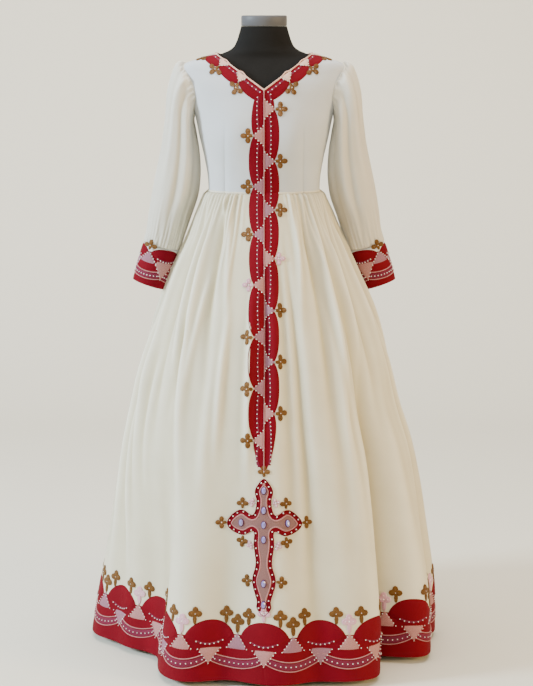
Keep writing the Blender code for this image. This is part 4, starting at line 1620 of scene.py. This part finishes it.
@dataclass
class DressForm:
    """The limbless form: black jersey torso, satin neck cap, steel pole and base."""

    inward: float = 0.0062
    columns: int = 96

    def table(self) -> list[Ring]:
        """The form's sections: hips, the bodice's moved in, and the neck."""
        shrunk = [
            Ring(r.z - 0.001, r.side - self.inward, r.front - self.inward, r.back - self.inward)
            for r in BODICE if r.z < 1.486
        ]
        return [*HIPS, *shrunk, *NECK]

    def torso(self) -> bpy.types.Object:
        """Level rings from a rounded foot to the neck, closed at both ends."""
        rings = self.table()
        z = np.linspace(rings[0].z, rings[-1].z, 120)
        side, front, back = columns_at(rings, z)
        turn = np.radians(np.linspace(0, 360, self.columns, endpoint=False))
        x = side[:, None] * np.sin(turn)
        shape = np.abs(np.cos(turn)) ** ROUNDING
        forward = front[:, None] + bust_fullness(x, z[:, None]) * (z[:, None] > 1.16)
        y = np.where(np.cos(turn) >= 0, -forward * shape, back[:, None] * shape)
        body = np.stack([x, y, np.broadcast_to(z[:, None], x.shape)], axis=-1)
        middle = np.array([0.0, 0.0, 1.0])
        foot = [body[0] * np.array([s, s, 1.0]) - drop * middle
                for s, drop in ((0.01, 0.0), (0.5, 0.0), (0.9, -0.001), (0.98, -0.006))]
        top = [body[-1] * np.array([s, s, 1.0]) for s in (0.5, 0.01)]
        points = np.concatenate([np.stack(foot), body[3:], np.stack(top)])
        mesh = fill_mesh(
            "form_torso", points.reshape(-1, 3), quads(len(points), self.columns, closed=True)
        )
        mesh.materials.append(LOOKS["jersey"])
        return place_object("form_torso", mesh, "jersey", ("form_body",))

    def cap(self) -> bpy.types.Object:
        """The neck cap: an oval block with a rounded rim."""
        low, high = (np.array(corner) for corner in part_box("form_cap"))
        middle, half = (low + high) / 2, (high - low) / 2
        height = high[2] - low[2]
        profile = ((0.01, 0.0), (0.96, 0.0), (1.0, 0.06), (1.0, 0.86), (0.985, 0.94), (0.95, 0.985),
                   (0.90, 1.0), (0.01, 1.0))
        turn = np.linspace(0, 2 * np.pi, self.columns, endpoint=False)
        rings = [
            np.stack([
                middle[0] + half[0] * share * np.sin(turn),
                middle[1] - half[1] * share * np.cos(turn),
                0 * turn + low[2] + rise * height,
            ], axis=-1)
            for share, rise in profile
        ]
        points = np.concatenate(rings)
        mesh = fill_mesh("form_cap_block", points, quads(len(profile), self.columns, closed=True))
        mesh.materials.append(LOOKS["cap"])
        return place_object("form_cap_block", mesh, "cap", ("form_cap",))

    def build(self) -> None:
        """Make the torso and cap, and finish the stand's own solids."""
        self.torso()
        self.cap()
        for name in ("form_pole", "form_base"):
            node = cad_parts[name]
            node.data.materials.clear()
            node.data.materials.append(LOOKS["steel"])


@dataclass
class Sheet:
    """A panel of cloth from a grid of points: thickness outward, metres as UV, a painted fold shade, and
    its cut.
    """

    name: str
    slot: str
    finish: str
    nodes: tuple[str, ...]
    rests_on: tuple[str, ...]
    held = "hung"
    closed: bool = False
    window: int = 17
    crease_shade_depth: float = 0.0085

    def build(self, points: Array, hand: int = 1) -> None:
        """Make the sheet.

        Args:
            points: rows going up, columns going round.
            hand: -1 where the grid turns against the surface.
        """
        rows, columns = points.shape[:2]
        if self.closed:
            faces = quads(rows, columns, closed=True, hand=hand)
            ring = np.concatenate([points, points[:, :1]], axis=1)
            uv = cloth_uv(ring).reshape(rows, columns + 1, 2)[:, :-1].reshape(-1, 2)
            wide, tall, area = flat_size(ring)
        else:
            faces = quads(rows, columns, hand=hand)
            uv = cloth_uv(points)
            wide, tall, area = flat_size(points)
        mesh = fill_mesh(self.name, points.reshape(-1, 3), faces)
        put_uv(mesh, uv)
        # Painted shade: how deep in a trough each point lies, to darken its colour there.
        shade = painted_fold_shade(points, self.window, self.crease_shade_depth, self.closed)
        put_painted_fold_shade(mesh, shade if hand > 0 else 1 - shade)
        self.put(mesh)

    def put(self, mesh: bpy.types.Mesh) -> None:
        """Finish the sheet from its mesh.

        Args:
            mesh: its points and faces, with their UV maps.
        """
        mesh.materials.append(LOOKS[self.finish])
        made = place_object(self.name, mesh, self.slot, self.nodes)
        wall = made.modifiers.new("Cloth thickness", "SOLIDIFY")
        wall.thickness = CLOTH
        wall.offset = 1.0
        wall.use_even_offset = False
        list(self.rests_on)


@dataclass
class Bodice:
    """The bodice: a front with a V neck and darts, and two backs that meet in the middle."""

    rows: int = 90
    columns: int = 112

    def levels(self, neck: float) -> Array:
        """Heights of the rows, with one at the neckline's lowest point."""
        low = np.linspace(WAIST_Z, neck, int(self.rows * 0.7))
        high = neck + (NECK_POINT[1] - 0.0004 - neck) * np.linspace(0, 1, self.rows - len(low) + 1)
        return np.concatenate([low, high[1:]])

    def half(self, half: Half, neck: float) -> Array:
        """Half a panel: rows from the waist up, columns from the middle or neckline outward."""
        z = self.levels(neck)
        share = np.clip((z - neck) / (NECK_POINT[1] - neck), 0.0, 1.0)
        neck_x = NECK_POINT[0] * (share if half is Half.FRONT else np.sqrt(share))
        seam = 0.0003 if half is Half.BACK else 0.0
        inner = bodice_angle(np.maximum(neck_x, seam), z)
        outer = np.maximum(armhole_angle(z, half) - 0.08, inner + 0.02)
        across = np.linspace(0, 1, self.columns)
        angle = inner[:, None] + (outer - inner)[:, None] * across
        level = np.broadcast_to(z[:, None], angle.shape)
        return bodice_point(angle if half is Half.FRONT else 180 - angle, level)

    def build(self) -> None:
        """Make the three panels."""
        left = self.half(Half.FRONT, NECK_V_Z)
        points = np.concatenate([(left * Side.RIGHT.mirror)[:, ::-1], left[:, 1:]], axis=1)
        z = self.levels(NECK_V_Z)
        whole = int(np.sum(z <= NECK_V_Z + 1e-6))
        self.front(points, whole)
        back = self.half(Half.BACK, BACK_NECK_Z)
        for side, grid in ((Side.LEFT, back[:, ::-1]), (Side.RIGHT, back * Side.RIGHT.mirror)):
            name = f"bodice_back_{side.name.lower()}"
            Sheet(
                f"{name}_panel", "cotton", "bodice", (name,), ("form_torso",)
            ).build(grid)

    def front(self, points: Array, whole: int) -> None:
        """The front in one piece: a full grid up to the V, and a strip each side of it above."""
        rows, columns = points.shape[:2]
        faces = quads(rows, columns)
        above = np.repeat(np.arange(rows - 1) >= whole - 1, columns - 1)
        column = np.tile(np.arange(columns - 1), rows - 1)
        middle = self.columns - 1
        index = np.arange(rows * columns).reshape(rows, columns)
        extra = points[whole:, middle] * Side.RIGHT.mirror
        left_side = above & (column == middle)
        new_index = np.concatenate([[index[whole - 1, middle]], rows * columns + np.arange(rows - whole)])
        rows_of = np.repeat(np.arange(rows - 1), columns - 1)[left_side] - (whole - 1)
        faces[left_side, 0] = new_index[rows_of]
        faces[left_side, 3] = new_index[rows_of + 1]
        flat = points.reshape(-1, 3)
        every = np.concatenate([flat, extra])
        mesh = fill_mesh("bodice_front_panel", every, faces)
        uv = cloth_uv(points)
        put_uv(mesh, np.concatenate([uv, uv[index[whole:, middle]]]))
        # Painted shade in the bodice's troughs, over a narrower window.
        shade = painted_fold_shade(points, 9, 0.0042).ravel()
        put_painted_fold_shade(mesh, np.concatenate([shade, shade[index[whole:, middle]]]))
        wide, tall, _ = flat_size(points)
        Sheet(
            "bodice_front_panel", "cotton", "bodice", ("bodice_front",), ("form_torso",)
        ).put(mesh)


@dataclass
class Skirt:
    """The skirt: a front and a back panel, gathered into the waist."""

    columns: int = 301
    rows: int = 112

    def build(self) -> None:
        """Make both panels; rows lie closer under the waist, where the gathers are."""
        t = np.linspace(0, 1, self.rows)
        z = HEM_Z + (WAIST_Z - 0.0008 - HEM_Z) * (1 - (1 - t) * (1 - 0.25 * t))
        for half, start in ((Half.FRONT, -89.92), (Half.BACK, 90.08)):
            angle = start + np.linspace(0, 179.84, self.columns)
            points = SKIRT_CLOTH.point(angle[None, :], z[:, None])
            Sheet(
                f"skirt_{half.value}_panel", "cotton", "cotton", (f"skirt_{half.value}",),
                ("form_torso",),
            ).build(points)


@dataclass
class Sleeve:
    """A sleeve with its cuff: full at the head, gathered into the cuff at the wrist."""

    side: Side
    start: float = -120.0
    cloth: TubeSurface = field(init=False)
    cuff: TubeSurface = field(init=False)

    def __post_init__(self) -> None:
        """Make the two surfaces."""
        self.cloth = TubeSurface(SLEEVE, self.side, True, PLEATS)
        self.cuff = TubeSurface(CUFF, self.side, False)

    def build(self) -> None:
        """Make the sleeve, its cuff's lining and the cuff's red band."""
        key = self.side.name.lower()
        around = np.linspace(0, 360, 180, endpoint=False)
        up = np.linspace(0, 1, 96)
        grid = self.cloth.point(around[None, :], up[:, None])
        Sheet(
            f"sleeve_{key}_tube", "gauze", "gauze", (f"sleeve_{key}",),
            ("bodice_front_panel",), closed=True,
        ).build(grid, self.side.value)
        grid = self.cuff.point(around[None, :], np.linspace(0, 1, 24)[:, None])
        lining = Sheet(
            f"cuff_{key}_lining", "band", "gauze_solid", (f"cuff_{key}",),
            (f"sleeve_{key}_tube",), closed=True,
        )
        lining.build(grid, self.side.value)
        band = CuffMap(self.cuff, self.start, 0.105)
        work = Embroidery(f"cuff_{key}_band")
        scale = band.girth / (3 * CUFF_REPEAT.pitch)
        log.info("cuff girth %.4f, stretched %.3f", band.girth, scale)
        CUFF_REPEAT.stitch(work, Stretched(band, scale), 3)
        notches = (np.arange(3) + 0.5) * CUFF_REPEAT.pitch
        work.cross(Raised(Stretched(band, scale), 0.0065), notches, 0.094, (0, 1), 0.028, 0.42)
        work.build((), (round(band.girth, 4), 0.105), (f"cuff_{key}_lining",))


class Stretched(BandMap):
    """A band's coordinates stretched along it so that whole repeats go round."""

    def __init__(self, band: Surface, scale: float) -> None:
        """Keep the band and the stretch."""
        self.band, self.scale, self.hand = band, scale, band.hand

    def point(self, a: Array, b: Array) -> Array:
        """Points at a stretched place."""
        return self.band.point(np.asarray(a) * self.scale, b)


class Raised(BandMap):
    """A band's coordinates lifted off it, for what lies over a fuller piece beside the band."""

    def __init__(self, band: Surface, height: float) -> None:
        """Keep the band and the height."""
        self.band, self.height, self.hand = band, height, band.hand

    def point(self, a: Array, b: Array) -> Array:
        """Points over the band's own."""
        return self.band.raised(np.asarray(a, float), np.asarray(b, float), self.height)


@dataclass
class HemBand:
    """The red band round the hem with its leaves, swags, triangles, beads and crosses."""

    def build(self) -> None:
        """Lay the band and the crosses that stand on it."""
        band = HemMap()
        count = round(band.girth / HEM_REPEAT.pitch)
        fitted = Stretched(band, band.girth / (count * HEM_REPEAT.pitch))
        log.info("hem girth %.3f m, %d repeats", band.girth, count)
        work = Embroidery("hem_band")
        HEM_REPEAT.stitch(work, fitted, count)
        pitch = HEM_REPEAT.pitch
        notches = (np.arange(count) + 0.5) * pitch
        for away in (-0.031, 0.031):
            foot = HEM_REPEAT.leaf_edge(notches + away) + 0.0005
            work.cross(fitted, notches + away, foot, (0, 1), 0.042, 0.60)
        pale = (np.arange(count) % 2 == 1) & (np.arange(count) != count - 1)
        for chosen, pink in ((~pale, False), (pale, True)):
            work.cross(fitted, notches[chosen], 0.1155, (0, 1), 0.046, 0.62, pink)
        work.cross(fitted, np.zeros(1), 0.149, (0, 1), 0.036, 0.55, True)
        work.build(
            ("hem_band_front", "hem_band_back"), (round(band.girth, 4), HEM_REPEAT.leaf_top),
            ("skirt_front_panel", "skirt_back_panel"),
        )


@dataclass
class CentreBand:
    """The band down the middle of the front, its two halves half a repeat apart, and their small crosses.
    """

    right_first: float = 0.110
    left_first: float = 0.046
    pitch: float = 0.1265

    def build(self) -> None:
        """Lay both halves, the middle line and the small crosses on them."""
        top = FRONT.up_to(NECK_V_Z - 0.001)
        length = top - FRONT.up_to(BAND_END_Z)
        work = Embroidery("centre_band")
        for side, first in ((Side.LEFT, self.left_first), (Side.RIGHT, self.right_first)):
            apexes = tuple(first + self.pitch * np.arange(7))
            strip = EdgeStrip(
                apexes, length, 0.012, 0.0008, 0.0238, 0.0135, 0.0240, 0.0268, 0.0172
            )
            band = ColumnMap(FRONT, top, side)
            strip.stitch(work, band, (Tone.PINK, Tone.MAUVE, Tone.MAUVE))
            places = np.array(apexes)
            bronze = np.arange(len(places)) != 3
            work.cross(band, places[bronze], 0.0262, (0, 1), 0.031, 0.42)
            work.cross(band, places[~bronze], 0.0262, (0, 1), 0.027, 0.42, True)
        down = np.linspace(0.002, length - 0.002, 300)
        work.cord(FRONT, 0 * down, top - down, 0.0012, 0.0034, Tone.PINK)
        work.build(
            ("centre_band",), (0.0746, round(length, 4)), ("bodice_front_panel", "skirt_front_panel"),
        )


@dataclass
class LargeCross:
    """The large cross on the skirt's front, with its stones."""

    def build(self) -> None:
        """Lay the cross and set its stones."""
        work = Embroidery("large_cross")
        stones, rims = Studs(), Studs()
        CrossPlate().stitch(work, FRONT, stones, rims)
        work.build(("cross",), (0.188, 0.331), ("skirt_front_panel",))
        rims.build("large_cross_settings", "band", LOOKS["gem_rim"], Form.PETAL, 14)
        stones.build("large_cross_stones", "band", LOOKS["gem"], Form.STONE, 10)


@dataclass
class NeckBand:
    """The band round the neckline: leaves, small triangles, piping and crosses."""

    def build(self) -> None:
        """Lay the four quarters of the band."""
        work = Embroidery("neck_band")
        total = 0.0
        for half in Half:
            for side in Side:
                band = NeckMap(half, side)
                reach = band.reach
                total += reach
                shares = (0.36, 0.65, 0.93) if half is Half.FRONT else (0.18, 0.62)
                apexes = tuple(share * reach for share in shares)
                strip = EdgeStrip(
                    apexes, reach, 0.012 if half is Half.FRONT else 0.030, 0.024, 0.0200,
                    0.0130, 0.0165, 0.0195, 0.0095,
                )
                strip.stitch(work, band, (Tone.PIPING,))
                along = np.linspace(0.0, reach, 120)
                scallop = sum(bump(along - place, 0.009) for place in apexes)
                work.cord(band, along, 0.0004 - 0.0030 * scallop, 0.0016, 0.0032, Tone.PIPING)
                work.cross(band, np.array(apexes), 0.0205, (0, 1), 0.029, 0.42)
        work.build(
            ("neck_band_left", "neck_band_right", "neck_band_back_left", "neck_band_back_right"),
            (0.033, round(total, 4)),
            ("bodice_front_panel", "bodice_back_left_panel", "bodice_back_right_panel"),
        )


def tube_round(path: Array, radius: float, sides: int = 8) -> Array:
    """Rings of a round cord along a closed path.

    Each ring lies across the path: one of its axes is the path's direction crossed with the
    direction away from the path's middle, the other completes the square.

    Args:
        path: points of the loop, not repeated at its end.
        radius: the cord's radius.
        sides: points in each ring.

    Returns:
        Points shaped path, sides, x y z.
    """
    ahead = unit(np.roll(path, -1, axis=0) - np.roll(path, 1, axis=0))
    away = unit(path - path.mean(axis=0))
    up = unit(np.cross(ahead, away))
    out = np.cross(up, ahead)
    turn = np.linspace(0, 2 * np.pi, sides, endpoint=False)
    across = out[:, None] * np.cos(turn)[:, None] + up[:, None] * np.sin(turn)[:, None]
    return path[:, None] + radius * across


@dataclass
class Seams:
    """The sewn seams that show: the waist seam's ridge, and a cord round each armhole."""

    def build(self) -> None:
        """Lay narrow cords of the dress's own cotton on the seams."""
        work = Patchwork()
        v = np.linspace(-1, 1, 7)[:, None]
        around = np.broadcast_to(np.linspace(14.8, 345.2, 361), (7, 361))
        across = WAIST_SEAM_HALF * v + 0 * around
        height = CLOTH + 0.0022 * np.sqrt(1 - v**2) - 0.0004
        points = BODICE_CLOTH.raised(around, WAIST_Z + 0.0002 + across, height + 0 * around)
        uv = np.stack([np.radians(around) * 0.13, across], axis=-1)
        work.add(points[None], uv[None], Tone.RED)
        finishes = [LOOKS["cotton_cord"]] * len(Tone)
        work.build("waist_seam", "cotton", finishes)
        for side in Side:
            self.armhole(side)

    @staticmethod
    def armhole(side: Side) -> None:
        """A cord in the gap between the bodice's armhole and the sleeve's head."""
        loop = TubeSurface(SLEEVE, Side.LEFT, True).loops(np.linspace(0, 360, 120, endpoint=False))[0]
        loop = loop + np.array([-ARMHOLE_GAP * 0.4, 0.0, 0.0])
        points = tube_round(loop, 0.0021) * side.mirror
        points = np.concatenate([points, points[:1]])
        rows, sides = points.shape[:2]
        faces = quads(rows, sides, closed=True, hand=-side.value)
        name = f"armhole_seam_{side.name.lower()}"
        mesh = fill_mesh(name, points.reshape(-1, 3), faces)
        put_uv(mesh, cloth_uv(points), "Stitch")
        mesh.materials.append(LOOKS["cotton_cord"])
        place_object(name, mesh, "cotton")


# ---- floor, light and camera


@dataclass
class Studio:
    """A pale floor that curves up into a backdrop, soft lights and the camera."""

    def floor(self) -> None:
        """One swept sheet: floor, a wide curve, and a wall."""
        flat = np.array([[-9.0, -0.0001], [2.6, -0.0001]])
        turn = np.radians(np.linspace(0, 90, 24))[1:]
        curve = np.stack([2.6 + 1.6 * np.sin(turn), 1.6 - 1.6 * np.cos(turn)], axis=-1)
        profile = np.concatenate([flat, curve, [[4.2, 1.82]]])
        x = np.linspace(-9, 9, 3)
        points = np.stack(np.broadcast_arrays(x, profile[:, :1], profile[:, 1:]), axis=-1)
        mesh = fill_mesh("studio_floor", points.reshape(-1, 3), quads(len(profile), 3))
        mesh.materials.append(LOOKS["pale"])
        linked("studio_floor", mesh)

    @staticmethod
    def light(
        name: str, place: tuple[float, float, float], aim: tuple[float, float, float],
        size: float, power: float, colour: tuple[float, float, float],
    ) -> None:
        """A square soft light.

        Args:
            name: its name.
            place: where it is.
            aim: what it faces.
            size: its side.
            power: watts.
            colour: its tint.
        """
        data = bpy.data.lights.new(name, "AREA")
        data.size = size
        data.energy = power
        data.color = colour
        made = linked(name, data)
        made.location = place
        ahead = np.array(aim, float) - np.array(place, float)
        made.rotation_mode = "XYZ"
        flat = float(np.hypot(ahead[0], ahead[1]))
        made.rotation_euler = (
            float(np.arctan2(flat, -ahead[2])), 0.0, float(np.arctan2(-ahead[0], ahead[1])),
        )

    def lights(self) -> None:
        """A cool key from the left, a warm fill from the right, a soft front light, one on the
        backdrop, and an even room."""
        self.light("key", (-4.6, -1.5, 2.5), (0, 0, 0.8), 1.1, 470.0, (0.74, 0.88, 1.0))
        self.light("fill", (4.2, -2.3, 1.7), (0, 0, 0.7), 1.6, 190.0, (1.0, 0.70, 0.32))
        self.light("front", (-0.4, -4.6, 2.6), (0, 0, 1.15), 1.6, 72.0, (1.0, 0.97, 0.89))
        self.light("wash", (0.0, 0.8, 5.4), (0, 3.6, 1.4), 5.0, 500.0, (1.0, 0.965, 0.915))
        world = bpy.data.worlds.new("studio_world")
        world.use_nodes = True
        back = world.node_tree.nodes["Background"]
        back.inputs["Color"].default_value = (0.86, 0.86, 0.84, 1.0)
        back.inputs["Strength"].default_value = 0.20
        bpy.context.scene.world = world

    @staticmethod
    def camera() -> None:
        """A long lens a little above the middle of the dress, tipped down."""
        data = bpy.data.cameras.new("camera")
        data.sensor_fit = "HORIZONTAL"
        data.sensor_width = 36.0
        data.lens = 131.4
        made = linked("camera", data)
        made.location = (0.006, -4.86, 1.571)
        made.rotation_euler = (float(np.radians(90 - 9.42)), 0.0, 0.0)
        bpy.context.scene.camera = made

    def build(self) -> None:
        """Set up the floor, lights and camera."""
        self.floor()
        self.lights()
        self.camera()


LOOKS = {look: finish.build() for look, finish in FINISHES.items()}
FRONT = FrontMap()
CROSS_UP = FRONT.up_to(CROSS_Z)


def main() -> None:
    """Build the form, then the dress from its panels to its bands, and the studio."""
    DressForm().build()
    Bodice().build()
    Skirt().build()
    for side in Side:
        Sleeve(side).build()
    HemBand().build()
    CentreBand().build()
    LargeCross().build()
    NeckBand().build()
    Seams().build()
    Studio().build()
    bpy.context.view_layer.update()


if __name__ == "__main__":
    logging.basicConfig(level=logging.INFO, format="%(message)s", stream=sys.stdout)
    main()
